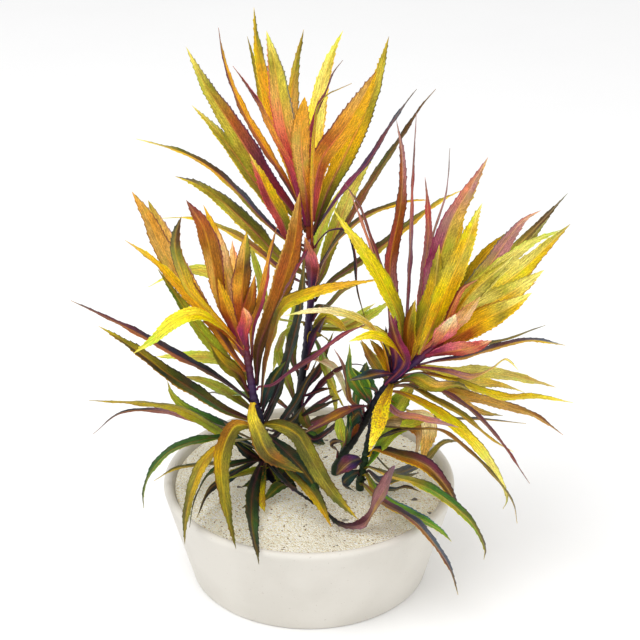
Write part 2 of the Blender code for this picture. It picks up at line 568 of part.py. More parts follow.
def finish(bm, name, tone, roughness):
    """Closes the mesh's open feet, and makes it an object of flat triangles with its own material."""
    bmesh.ops.holes_fill(bm, edges=[edge for edge in bm.edges if edge.is_boundary])
    bmesh.ops.triangulate(bm, faces=bm.faces)
    bmesh.ops.recalc_face_normals(bm, faces=bm.faces)
    mesh = bpy.data.meshes.new(name)
    bm.to_mesh(mesh)
    bm.free()
    mesh.shade_smooth()
    mesh.set_sharp_from_angle(angle=SHARP_ANGLE)
    return place(name, mesh, tone, roughness)


def place(name, mesh, tone, roughness):
    thing = bpy.data.objects.new(name, mesh)
    parts.objects.link(thing)
    paint(thing, tone, roughness)
    return thing


def paint(thing, tone, roughness):
    material = bpy.data.materials.new(thing.name)
    material.use_nodes = True
    shader = material.node_tree.nodes["Principled BSDF"]
    levels = [int(tone[start:start + 2], 16) / 255 for start in (0, 2, 4)]
    shader.inputs["Base Color"].default_value = (*[level ** 2.2 for level in levels], 1)
    shader.inputs["Roughness"].default_value = roughness
    shader.inputs["Metallic"].default_value = 0.0
    thing.data.materials.append(material)


def make_leaf(stem, leaf, turn):
    bm = bmesh.new()
    add_blade(bm, blade_sections(stem, leaf, turn, LEAF_STEPS))
    return finish(bm, leaf.name, TONES[leaf.tone], 0.5)


def make_small_leaves(stem, small_leaves, turns):
    """The stem's small leaves as one helper, ready to be joined to it."""
    bm = bmesh.new()
    for leaf in small_leaves:
        add_blade(bm, blade_sections(stem, leaf, turns[leaf.name], SMALL_LEAF_STEPS, SMALL_FOOT_SINK))
    return hide(finish(bm, "leaves_of_" + stem.name, TONES["green"], 0.5))


def make_stem(stem, small_leaves, turns):
    """The stem from its buried foot to its tip, with its small leaves joined to it."""
    axis = stem_axis(stem)
    stations = np.linspace(0, 1, STEM_RINGS)
    every = np.linspace(0, 1, STEM_PLACES)
    places = np.column_stack([np.interp(stations, every, axis[:, k]) for k in range(3)])
    places = np.vstack([places[0] - [0, 0, SOCKET_DEPTH], places])
    stations = np.concatenate([[0], stations])
    radii = stem.foot_radius + (stem.tip_radius - stem.foot_radius) * stations
    along, sides = carried_sides(places, np.array([1.0, 0.0, 0.0]))
    angles = (np.arange(STEM_SIDES) + 0.5) * 2 * math.pi / STEM_SIDES
    sections = [
        np.array([point + (side * math.cos(angle) + np.cross(direction, side) * math.sin(angle)) * radius
                  for angle in angles]) * MM
        for point, direction, side, radius in zip(places, along, sides, radii)
    ]
    bm = bmesh.new()
    grow(bm, start_on(bm, sections[0]), sections[1:])
    thing = finish(bm, stem.name, TONES["maroon"], 0.45)
    join = thing.modifiers.new("Small leaves", "BOOLEAN")
    join.operation = "UNION"
    join.solver = "EXACT"
    join.use_self = True
    join.object = make_small_leaves(stem, small_leaves, turns)
    return thing


def turned(name, profile, tone, roughness):
    """A profile of (radius, height) turned about the pot's axis."""
    mesh = bpy.data.meshes.new(name)
    corners = [(radius * MM, 0, height * MM) for radius, height in profile]
    mesh.from_pydata(corners, [(index, index + 1) for index in range(len(profile) - 1)], [])
    thing = place(name, mesh, tone, roughness)
    screw = thing.modifiers.new("Turn", "SCREW")
    screw.steps = POT_SIDES
    screw.render_steps = POT_SIDES
    screw.use_merge_vertices = True
    screw.merge_threshold = 0.00001
    screw.use_smooth_shade = True
    return thing


def inner_radius(height):
    """The pot's inner radius at a height."""
    rise = height / POT_HEIGHT
    return POT_FOOT_RADIUS + (POT_RIM_RADIUS - POT_FOOT_RADIUS) * rise - POT_WALL


def make_pot():
    lip = POT_WALL / 2
    middle = POT_RIM_RADIUS - lip
    rounding = [
        (middle + lip * math.cos(turn), POT_HEIGHT - lip + lip * math.sin(turn))
        for turn in np.radians([0, 45, 90, 135, 180])
    ]
    profile = [(0, POT_FLOOR), (inner_radius(POT_FLOOR), POT_FLOOR), *rounding[::-1],
               (POT_FOOT_RADIUS, POT_FOOT_BEVEL), (POT_FOOT_RADIUS - POT_FOOT_BEVEL, 0), (0, 0)]
    return turned("pot", profile, "E6E2DA", 0.5)


def sand_height(radius):
    """The sand is a little higher in the middle."""
    return SAND_LEVEL + SAND_CROWN * (1 - (radius / inner_radius(SAND_LEVEL)) ** 2)


def make_sand(stems):
    floor = POT_FLOOR + FIT_GAP
    edge = inner_radius(SAND_LEVEL) - FIT_GAP
    radii = np.linspace(0, edge, SAND_RINGS)
    surface = [(radius, sand_height(radius)) for radius in radii]
    profile = [*surface, (inner_radius(floor) - FIT_GAP, floor), (0, floor)]
    sand = turned("sand", profile, "E4DECB", 0.9)
    for stem in stems:
        cut = sand.modifiers.new("Socket " + stem.name, "BOOLEAN")
        cut.object = make_socket(stem)
    return sand


def make_socket(stem):
    """A hole in the sand, a little wider and deeper than the stem's buried foot."""
    foot = stem_axis(stem)[0]
    low = foot[2] - SOCKET_DEPTH - FIT_GAP
    high = SAND_LEVEL + 2 * SAND_CROWN
    bpy.ops.mesh.primitive_cylinder_add(
        vertices=SOCKET_SIDES, radius=(stem.foot_radius + 2 * FIT_GAP) * MM, depth=(high - low) * MM,
        location=(foot[0] * MM, foot[1] * MM, (low + high) / 2 * MM),
    )
    cutter = bpy.context.object
    cutter.name = "socket_" + stem.name
    return hide(cutter)


def hide(helper):
    """Moves a helper out of the model."""
    for holder in helper.users_collection:
        holder.objects.unlink(helper)
    helpers.objects.link(helper)
    helper.hide_render = True
    helper.display_type = "WIRE"
    return helper


for old in list(bpy.data.objects):
    bpy.data.objects.remove(old, do_unlink=True)
parts = bpy.data.collections.new("Potted broad leaf Pogostemon stellatus")
helpers = bpy.data.collections.new("Helpers")
bpy.context.scene.collection.children.link(parts)
bpy.context.scene.collection.children.link(helpers)

STEMS = (
    (MIDDLE_STEM, MIDDLE_LEAVES, MIDDLE_SMALL),
    (LEFT_STEM, LEFT_LEAVES, LEFT_SMALL),
    (RIGHT_STEM, RIGHT_LEAVES, RIGHT_SMALL),
    (FRONT_STEM, FRONT_LEAVES, FRONT_SMALL),
)
make_pot()
make_sand([stem for stem, _, _ in STEMS])
for stem, leaves, small_leaves in STEMS:
    turns = foot_turns(stem, (*leaves, *small_leaves))
    make_stem(stem, small_leaves, turns)
    for leaf in leaves:
        make_leaf(stem, leaf, turns[leaf.name])
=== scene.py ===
# Potted broad-leaf Pogostemon stellatus: the dressed model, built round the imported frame. Metres, +Z up.

import math

import bpy
import numpy as np
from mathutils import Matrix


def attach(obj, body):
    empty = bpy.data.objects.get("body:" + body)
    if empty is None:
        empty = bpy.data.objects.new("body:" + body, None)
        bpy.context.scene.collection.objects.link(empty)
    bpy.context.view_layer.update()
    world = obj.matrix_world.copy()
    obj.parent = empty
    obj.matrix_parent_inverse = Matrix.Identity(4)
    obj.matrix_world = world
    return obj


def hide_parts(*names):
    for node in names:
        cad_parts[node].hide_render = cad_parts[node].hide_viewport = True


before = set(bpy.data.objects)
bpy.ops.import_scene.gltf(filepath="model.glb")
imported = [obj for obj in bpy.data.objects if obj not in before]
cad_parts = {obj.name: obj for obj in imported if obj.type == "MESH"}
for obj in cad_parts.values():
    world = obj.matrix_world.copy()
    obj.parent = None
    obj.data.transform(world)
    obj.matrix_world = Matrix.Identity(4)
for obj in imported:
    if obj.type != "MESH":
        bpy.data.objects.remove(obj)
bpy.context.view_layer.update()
mm = 0.001

# The plant is laid out as it looks from the front: a place is a column and a row of a 640 x 640 picture,
# one step being 0.5 mm at the pot's middle, with its depth in millimetres behind the pot's middle.
sight = dict(middle=320, step=0.5, distance=850.0, elevation=25.0, target=(6.0, 0.0, 161.5))

# lens and lower are in mm, nearest in metres. lower is how far under the target it aims.
camera = dict(lens=91.298, lower=9.8, nearest=0.01)

# Colours, as sRGB in hex. ink and night, near black, put the deep shade inside the plant into the colour of
# the leaves and stems there: painted shade.
# slate and blue are mostly the bluish sheen that lies on dark leaves and their margins: painted sheen
tones = dict(
    ink="0c1016", night="18142e", grape="3c204e", plum="5e2838", wine="7a202c", magenta="8c2c56",
    rose="c0504a", salmon="da8464", pink="e0707e", mauve="b27a7c", lilac="8c6c80", peach="ecc08c",
    cream="ece0b0", rust="9a5022", brown="8e5a1c", umber="4c3210", tan="cca052", orange="d99838",
    amber="dca52c", gold="d2a826", lemon="ead240", yellow="dcc828", straw="dcd06a", lime="b8c440",
    paleOlive="b8aa40", olive="8e8428", moss="5c5a1c", leafGreen="5e8a28", green="386424",
    darkGreen="18321a", teal="1e4440", slate="4c5462", blue="385a8a", taupe="a08c68",
)

# foot and tip are the radius in mm at each end, tones the stem's colours and ribs those of its leaves'
# midribs, each from foot to tip. fullness widens all its leaves, and bright is what the tones of its lowest
# and its highest leaf are multiplied by: painted shade on the low leaves and painted light on the high ones.
# line is the column, row and depth of places from tip to foot.
stems = {
    "middle": dict(node="middle_stem", foot=2.3, tip=1.7, tones="darkGreen ink night grape wine rust",
        fullness=1.03, ribs="plum magenta rose rust amber", bright=(0.7, 1.23),
        line=((309, 226, 33), (309, 247, 34), (311, 275, 36), (311, 310, 38), (308, 345, 40),
              (305, 375, 41), (301, 400, 42), (297, 430, 43), (294, 460, 44))),
    "left": dict(node="left_stem", foot=2.3, tip=1.7, tones="ink night night grape plum magenta",
        fullness=1.18, ribs="plum plum rust amber tan", bright=(0.66, 1.22),
        line=((236, 350, -8), (243, 375, -6), (247, 398, -5), (250, 418, -4), (256, 440, -2),
              (260, 465, 0), (263, 490, 2))),
    "right": dict(node="right_stem", foot=2.3, tip=1.7, tones="darkGreen ink ink night grape wine",
        fullness=1.18, ribs="magenta rust amber tan cream", bright=(1.0, 1.08),
        line=((448, 361, -18), (436, 370, -15), (424, 380, -12), (412, 389, -10), (400, 399, -7),
              (388, 411, -4), (377, 427, -1), (368, 444, 2), (358, 460, 4), (346, 478, 5), (336, 494, 6))),
    "front": dict(node="front_stem", foot=2.0, tip=1.4, tones="darkGreen darkGreen ink night",
        fullness=1.2, ribs="plum moss tan tan", bright=(1.12, 1.2),
        line=((378, 436, -18), (374, 450, -16), (368, 480, -13), (362, 509, -10))),
}

# Each leaf: row where it leaves its stem, picture places from there to the tip, how much deeper its tip
# is than its foot (away), its width in mm and the share of it that faces the front (show). ease under 1
# gains the depth early, widest is how far along it is widest, and footTaper is the power of its widening.
# left and right are the colours of its two halves from foot to tip, as seen on the way up the leaf, rims
# those of its two margins and rib those of its midrib. speckled is how many brown spots it has, and slot
# the finish of a leaf that has a piece of its own.
middleLeaves = {
    "middle_leaf_01": dict(row=244,
        path=((288, 222), (263, 192), (240, 156), (218, 122), (199, 92), (180, 54)), away=-14, width=12.0,
        show=0.95, slot="leaf_olive", left="umber olive olive paleOlive paleOlive straw",
        right="night wine plum rust olive straw", rims="olive grape"),
    "middle_leaf_02": dict(row=248, path=((286, 238), (253, 197), (230, 165), (208, 138), (186, 115)),
        away=24, width=9.5, show=0.8, slot="leaf_olive", left="umber brown olive olive paleOlive",
        right="night brown olive olive straw", rims="lemon slate"),
    "middle_leaf_03": dict(row=234,
        path=((283, 193), (262, 160), (244, 130), (229, 98), (218, 62), (214, 34)), away=10, width=9.0,
        show=0.5, slot="leaf_gold", left="night umber rust brown plum plum",
        right="night rust amber amber amber plum", rims="plum brown"),
    "middle_leaf_04": dict(row=230, path=((285, 165), (272, 125), (260, 85), (253, 45), (251, 13)), away=-6,
        width=10.5, show=0.85, slot="leaf_gold", left="wine rose orange amber amber gold olive",
        right="wine rose orange amber amber olive moss", rims="lemon slate"),
    "middle_leaf_05": dict(row=228, path=((288, 160), (278, 110), (273, 75), (264, 37)), away=-24,
        width=11.5, show=0.95, widest=0.5, slot="leaf_gold", left="wine wine rose salmon tan olive straw",
        right="wine magenta rose tan paleOlive paleOlive straw", rims="rose slate"),
    "middle_leaf_06": dict(row=228, path=((291, 150), (290, 110), (294, 75), (303, 36)), away=18,
        width=10.5, show=0.75, slot="leaf_gold", left="rust orange orange amber paleOlive olive",
        right="rust orange amber tan olive moss", rims="amber moss"),
    "middle_leaf_07": dict(row=240, path=((305, 205), (301, 170), (300, 140), (304, 106)), away=-48,
        width=10.0, show=0.95, widest=0.62, slot="leaf_pink", left="plum rust tan tan tan orange amber",
        right="plum rust orange tan orange orange amber", rims="brown brown"),
    "middle_leaf_08": dict(row=232, path=((312, 165), (317, 125), (324, 88), (333, 60), (344, 37)), away=30,
        width=10.5, show=0.95, slot="leaf_gold", left="amber amber lemon lemon straw straw lime",
        right="amber lemon lemon straw straw paleOlive lime", rims="lemon amber"),
    "middle_leaf_09": dict(row=236, path=((320, 175), (343, 142), (362, 112), (380, 78)), away=-34,
        width=12.0, show=0.95, widest=0.52, slot="leaf_gold", left="wine rust orange rust orange tan brown",
        right="wine rose rust orange amber amber gold", rims="plum amber"),
    "middle_leaf_10": dict(row=246, path=((328, 205), (346, 168), (366, 125), (382, 82), (392, 43)),
        away=-4, width=11.5, show=0.95, slot="leaf_olive",
        left="umber olive gold gold paleOlive paleOlive olive",
        right="ink moss olive gold olive paleOlive moss", rims="gold ink"),
    "middle_leaf_11": dict(row=252,
        path=((330, 224), (349, 199), (370, 175), (391, 141), (411, 111), (421, 98)), away=14, width=8.0,
        show=0.35, slot="leaf_pink", left="night grape magenta grape plum slate ink", rims="ink night"),
    "middle_leaf_12": dict(row=292,
        path=((323, 278), (347, 242), (367, 207), (388, 174), (405, 149), (426, 116), (441, 98)), away=16,
        width=8.0, show=0.5, slot="leaf_olive", left="ink umber brown moss umber ink",
        right="ink brown brown olive umber ink", rims="ink brown"),
    "middle_leaf_13": dict(row=312,
        path=((323, 290), (328, 270), (339, 240), (351, 210), (361, 190), (378, 165)), away=44, width=9.5,
        show=0.9, slot="leaf_olive", left="moss olive paleOlive straw paleOlive straw", rims="lime olive"),
    "middle_leaf_14": dict(row=320,
        path=((330, 301), (355, 284), (375, 270), (400, 251), (430, 227), (450, 213), (470, 203)), away=-4,
        width=9.0, show=0.6, slot="leaf_olive", left="ink moss umber moss olive gold",
        right="umber moss olive gold gold straw", rims="ink lemon"),
    "middle_leaf_15": dict(row=270,
        path=((280, 252), (256, 230), (235, 207), (206, 181), (178, 165), (150, 156), (128, 150)), away=4,
        width=8.0, show=0.55, slot="leaf_olive", left="umber brown olive amber gold straw",
        right="ink night slate umber moss straw", rims="lemon night"),
    "middle_leaf_16": dict(row=294,
        path=((279, 276), (256, 252), (236, 232), (213, 212), (190, 197), (168, 189)), away=-16, width=10.5,
        show=0.8, slot="leaf_olive", left="moss olive olive paleOlive olive lemon",
        right="moss olive moss moss olive slate", rims="lemon slate"),
    "middle_leaf_17": dict(row=262, path=((290, 257), (280, 235), (268, 212), (258, 190), (246, 165)),
        away=-42, width=9.5, show=0.9, slot="leaf_pink", left="plum wine rose wine rose tan",
        right="plum moss olive gold gold straw", rims="rose gold"),
    "middle_leaf_18": dict(row=304,
        path=((298, 299), (280, 288), (258, 270), (235, 253), (210, 241), (180, 233), (153, 233)), away=34,
        width=9.0, show=0.45, slot="leaf_gold", left="plum brown gold gold yellow yellow lemon",
        right="night plum brown olive gold straw", rims="lemon olive"),
}
middleSmallLeaves = {
    "behind04": dict(row=243, path=((290, 180), (262, 115), (252, 75), (244, 43)), away=20, width=7.5,
        show=0.8, left="rust amber olive gold olive moss", rims="olive moss"),
    "leftOf04": dict(row=240, path=((288, 178), (272, 148), (257, 116), (242, 92), (229, 74)), away=-34,
        width=7.0, show=0.5, left="magenta magenta rose orange plum plum", rims="plum rose"),
    "thinUp": dict(row=236, path=((309, 145), (316, 120), (326, 100), (333, 82), (344, 68)), away=-12,
        width=6.0, show=0.4, left="magenta magenta magenta plum slate", rims="plum plum"),
    "hooked": dict(row=254, path=((318, 118), (328, 104), (340, 98), (353, 92)), away=-46, width=5.0,
        show=0.4, left="rust orange gold olive ink", rims="gold ink"),
    "rightRise": dict(row=302,
        path=((320, 288), (335, 261), (350, 245), (368, 231), (392, 221), (415, 215), (436, 214)), away=-20,
        width=7.0, show=0.4, left="ink umber moss umber moss gold",
        right="umber brown gold olive gold gold", rims="ink gold"),
    "frontHang": dict(row=254, path=((308, 262), (297, 285), (286, 305), (274, 328)), away=-90, width=6.0,
        show=0.35, ease=0.7, left="plum magenta plum plum plum", rims="ink plum"),
    "frontRise": dict(row=310, path=((311, 280), (304, 252)), away=-44, width=8.0, show=0.9,
        left="night grape wine pink salmon orange", rims="wine salmon"),
    "rightDroop": dict(row=390, path=((312, 381), (332, 388), (342, 403), (349, 425)), away=-24, width=7.0,
        show=0.6, left="rose peach cream cream peach", rims="peach cream"),
    "rightArch": dict(row=430, path=((315, 415), (335, 395), (355, 386), (380, 391)), away=-30, width=6.5,
        show=0.5, left="grape grape plum plum grape slate", rims="night plum"),
    "rightLow": dict(row=440, path=((320, 431), (342, 422)), away=-34, width=7.0, show=0.55,
        left="ink darkGreen ink", rims="ink ink"),
    "rightHang": dict(row=360, path=((318, 365), (330, 400), (346, 433)), away=-14, width=7.0, show=0.6,
        left="green leafGreen lime yellow olive", rims="lime olive"),
    "backLeft": dict(row=345, path=((268, 335), (255, 290), (243, 248)), away=40, width=7.0, show=0.7,
        left="olive lime paleOlive lime straw", rims="lime lime"),
    "backLow": dict(row=345, path=((284, 350), (270, 395)), away=30, width=7.0, show=0.6,
        left="olive lime paleOlive lime straw", rims="lime lime"),
    "backRight": dict(row=350, path=((340, 345), (378, 322)), away=40, width=7.0, show=0.6,
        left="olive lime paleOlive lime straw", rims="lime lime"),
    "rightDark": dict(row=420, path=((308, 418), (320, 414), (332, 411)), away=-22, width=5.5, show=0.45,
        left="ink ink umber", rims="ink ink"),
    "rightStub": dict(row=375, path=((312, 362), (319, 347), (327, 334)), away=-16, width=7.0, show=0.7,
        left="night grape night umber", rims="night brown"),
    "highPale": dict(row=282, path=((316, 265), (323, 240), (333, 220), (345, 198)), away=34, width=8.0,
        show=0.8, left="olive lime paleOlive straw", rims="lime lime"),
    "longHang": dict(row=262, path=((330, 246), (349, 246), (357, 272), (359, 305), (368, 342)), away=-24,
        width=5.0, show=0.4, left="plum night ink ink moss", rims="ink ink"),
}

leftLeaves = {
    "left_leaf_01": dict(row=392,
        path=((225, 370), (202, 335), (173, 295), (150, 256), (139, 232), (123, 205)), away=0, width=9.5,
        show=0.9, widest=0.6, slot="leaf_gold", left="rust orange brown tan tan tan orange",
        right="rust umber brown brown tan orange tan", rims="brown plum"),
    "left_leaf_02": dict(row=378, path=((222, 360), (172, 285), (160, 258), (149, 235), (140, 214)),
        away=30, width=9.0, show=0.9, ease=0.6, widest=0.6, slot="leaf_gold",
        left="orange amber orange amber amber tan olive", right="orange gold gold amber tan tan olive",
        rims="amber lilac"),
    "left_leaf_03": dict(row=362,
        path=((215, 342), (185, 310), (176, 290), (169, 268), (169, 250), (175, 231)), away=-30, width=8.0,
        show=0.65, widest=0.5, slot="leaf_gold", left="rust amber gold gold olive moss ink",
        right="rust amber gold gold olive umber ink", rims="ink brown"),
    "left_leaf_04": dict(row=372, path=((224, 355), (200, 335), (170, 303), (145, 277), (116, 256)),
        away=-8, width=8.5, show=0.6, slot="leaf_gold", left="orange rust amber amber gold tan",
        right="rust orange amber gold gold tan", rims="brown lemon"),
    "left_leaf_05": dict(row=420, path=((226, 388), (198, 355), (174, 322), (150, 286)), away=10, width=8.5,
        show=0.75, slot="leaf_olive", left="moss olive lime lime leafGreen olive",
        right="umber olive lime lime olive olive", rims="lime olive"),
    "left_leaf_06": dict(row=366, path=((215, 346), (190, 334), (168, 341), (146, 360), (124, 375)),
        away=-52, width=8.5, show=0.8, slot="leaf_gold", left="rose orange yellow yellow lemon lime straw",
        right="rose orange yellow lemon lemon lime paleOlive", rims="lime lemon"),
    "left_leaf_07": dict(row=358, path=((215, 320), (208, 280), (198, 243), (180, 214)), away=-14,
        width=10.0, show=0.8, widest=0.6, slot="leaf_olive", left="plum brown tan tan brown rust plum",
        right="plum rust brown brown brown rust plum", rims="brown plum"),
    "left_leaf_08": dict(row=358, path=((238, 320), (240, 280), (243, 247)), away=-34, width=10.5, show=0.8,
        widest=0.5, slot="leaf_gold", left="wine rust rust orange brown tan gold",
        right="ink rust brown brown umber olive olive", rims="plum ink"),
    "left_leaf_09": dict(row=408,
        path=((256, 370), (265, 345), (275, 320), (285, 290), (293, 260), (299, 205)), away=4, width=10.5,
        show=0.9, widest=0.55, slot="leaf_gold", left="umber umber brown rust brown tan",
        right="ink umber umber brown rust brown", rims="tan ink"),
    "left_leaf_10": dict(row=430,
        path=((263, 385), (272, 350), (282, 325), (310, 312), (345, 303), (380, 298)), away=-38, width=8.5,
        show=0.7, slot="leaf_gold", left="ink umber brown moss gold amber gold",
        right="ink brown brown olive yellow amber gold", rims="ink lemon"),
    "left_leaf_11": dict(row=446,
        path=((272, 420), (283, 390), (292, 360), (299, 330), (303, 290), (304, 255)), away=24, width=8.0,
        show=0.55, slot="leaf_green", left="ink ink darkGreen darkGreen moss olive", rims="moss ink"),
    "left_leaf_12": dict(row=424, path=((210, 398), (170, 377), (135, 357), (100, 339), (59, 319)), away=2,
        width=9.0, show=0.45, slot="leaf_pink", left="ink ink umber rust rust rust plum slate",
        right="ink ink ink night night plum plum slate", rims="orange ink"),
    "left_leaf_13": dict(row=448,
        path=((220, 434), (190, 415), (160, 396), (130, 373), (100, 353), (88, 346)), away=-20, width=9.5,
        show=0.65, slot="leaf_green", left="brown moss green moss darkGreen umber moss gold",
        right="night umber moss darkGreen moss olive olive lemon", rims="amber night"),
    "left_leaf_14": dict(row=424, path=((249, 440), (255, 457), (266, 480), (285, 492), (303, 500)),
        away=-42, width=9.0, show=0.95, slot="leaf_gold", left="gold lemon olive moss brown moss moss",
        right="orange lemon olive moss umber moss moss", rims="moss brown",
        rib="lemon lemon gold brown gold"),
    "left_leaf_15": dict(row=452,
        path=((230, 452), (217, 480), (216, 500), (220, 530), (226, 557), (232, 580)), away=-80, width=9.0,
        show=0.8, ease=0.8, slot="leaf_gold", left="brown olive moss olive olive moss moss",
        right="rust orange brown gold olive olive moss", rims="moss brown", rib="gold lemon gold gold moss"),
    "left_leaf_16": dict(row=450,
        path=((278, 450), (297, 460), (309, 480), (320, 500), (336, 523), (360, 549)), away=-58, width=9.5,
        show=0.85, ease=0.8, slot="leaf_olive", left="umber moss moss olive moss olive gold",
        right="moss olive moss moss olive moss olive", rims="umber moss", rib="olive gold olive olive gold"),
    "left_leaf_17": dict(row=476,
        path=((225, 464), (190, 467), (162, 478), (143, 499), (135, 520), (135, 537)), away=-44, width=9.0,
        show=0.5, slot="leaf_green", left="darkGreen leafGreen green leafGreen leafGreen green",
        right="teal teal green green green darkGreen", rims="yellow teal"),
    "left_leaf_18": dict(row=466,
        path=((240, 465), (216, 473), (198, 490), (186, 518), (179, 550), (178, 575)), away=-74, width=8.0,
        show=0.65, ease=0.8, slot="leaf_olive", left="moss olive olive gold olive moss",
        right="moss olive gold olive moss moss", rims="olive moss"),
}
leftSmallLeaves = {
    "innerLeft": dict(row=366, path=((222, 300), (212, 255), (198, 219)), away=8, width=9.0, show=0.9,
        left="magenta tan tan gold amber gold gold", right="rose tan peach tan peach amber gold",
        rims="brown brown"),
    "innerBack": dict(row=372, path=((232, 300), (228, 256)), away=34, width=9.0, show=0.9,
        left="tan tan salmon tan peach", right="tan salmon tan tan salmon", rims="tan rose"),
    "innerRight": dict(row=384, path=((250, 345), (257, 325), (263, 300), (267, 275), (275, 241)), away=14,
        width=6.5, show=0.6, left="magenta orange brown orange orange rust",
        right="plum magenta magenta rose plum brown", rims="amber plum"),
    "toRight": dict(row=414, path=((270, 408), (288, 395), (315, 378), (345, 355), (371, 343)), away=2,
        width=6.0, show=0.4, left="magenta magenta plum magenta magenta plum", rims="night plum"),
    "longLow": dict(row=486, path=((228, 465), (190, 441), (165, 430), (130, 426), (78, 424)), away=-22,
        width=8.5, show=0.5, left="moss lime lime yellow yellow gold lemon",
        right="moss lime lime yellow olive yellow lemon", rims="gold slate"),
    "thinLow": dict(row=470, path=((225, 455), (190, 446), (155, 436), (112, 437), (82, 459)), away=6,
        width=6.0, show=0.4, left="moss olive salmon mauve rust plum slate",
        right="moss olive lilac mauve night night slate", rims="rust night"),
    "shortLow": dict(row=478, path=((232, 465), (205, 447), (180, 433), (165, 418), (160, 403)), away=26,
        width=8.0, show=0.8, left="ink darkGreen green green leafGreen lime straw",
        right="ink teal green green leafGreen lime straw", rims="yellow teal"),
    "backStub": dict(row=424, path=((220, 416), (200, 416)), away=40, width=6.0, show=0.5,
        left="green leafGreen teal slate", rims="cream slate"),
    "backThin": dict(row=453, path=((232, 453), (197, 435)), away=40, width=5.0, show=0.4,
        left="ink darkGreen ink", rims="ink ink"),
    "backPale": dict(row=404, path=((236, 390), (200, 379), (148, 378)), away=36, width=7.0, show=0.8,
        left="olive lime paleOlive lime straw", rims="lime lime"),
    "lowThin": dict(row=486, path=((215, 495), (202, 503), (188, 530), (183, 557)), away=-62, width=6.0,
        show=0.4, left="ink darkGreen green darkGreen green", rims="ink ink"),
    "lowShort": dict(row=486, path=((222, 505), (203, 518), (191, 547)), away=-44, width=7.0, show=0.6,
        left="ink teal ink ink", rims="ink yellow"),
    "lowSide": dict(row=486, path=((222, 490), (192, 492), (168, 496), (146, 508)), away=-14, width=6.0,
        show=0.35, left="moss olive gold yellow", right="moss olive moss olive", rims="yellow slate"),
    "frontStub": dict(row=486, path=((256, 510), (262, 541)), away=-42, width=8.5, show=0.8,
        left="teal darkGreen green yellow gold yellow", right="teal darkGreen moss gold yellow yellow",
        rims="moss lemon", speckled=0.6),
    "frontLong": dict(row=486, path=((250, 515), (248, 550), (256, 596)), away=-95, width=9.0, show=0.7,
        left="ink darkGreen darkGreen green darkGreen moss", right="ink ink darkGreen darkGreen ink moss",
        rims="ink moss"),
    "folded": dict(row=488, path=((290, 515), (325, 540), (338, 552), (350, 556), (367, 552), (380, 530),
        (391, 512), (399, 492)), away=-60, width=13.5, show=0.92, ease=0.25, widest=0.81, footTaper=4.5,
        left="ink ink darkGreen ink darkGreen ink plum mauve mauve lilac",
        right="ink ink darkGreen ink ink darkGreen mauve tan mauve lilac", rims="plum lilac",
        rib="ink ink mauve"),
    "backArch": dict(row=354, path=((222, 302), (200, 289), (178, 288), (158, 296), (140, 305)), away=46,
        width=7.0, show=0.8, left="olive lime paleOlive lime straw", rims="lime lime"),
    "frontRight": dict(row=478, path=((290, 497), (305, 512), (318, 530), (332, 557)), away=-66, width=8.5,
        show=0.8, left="darkGreen darkGreen green moss gold", right="darkGreen green olive gold amber",
        rims="ink gold"),
    "innerLong": dict(row=459, path=((272, 456), (284, 441), (296, 424), (306, 404), (319, 385)), away=22,
        width=6.5, show=0.6, left="ink ink darkGreen ink umber", rims="ink ink"),
    "innerGreen": dict(row=438, path=((264, 420), (272, 400), (284, 383)), away=8, width=7.5, show=0.7,
        left="ink teal darkGreen green", rims="teal teal"),
    "innerLow": dict(row=460, path=((278, 472), (297, 491), (312, 511), (322, 528)), away=-40, width=9.5,
        show=0.8, left="ink darkGreen darkGreen darkGreen green", rims="darkGreen teal"),
}

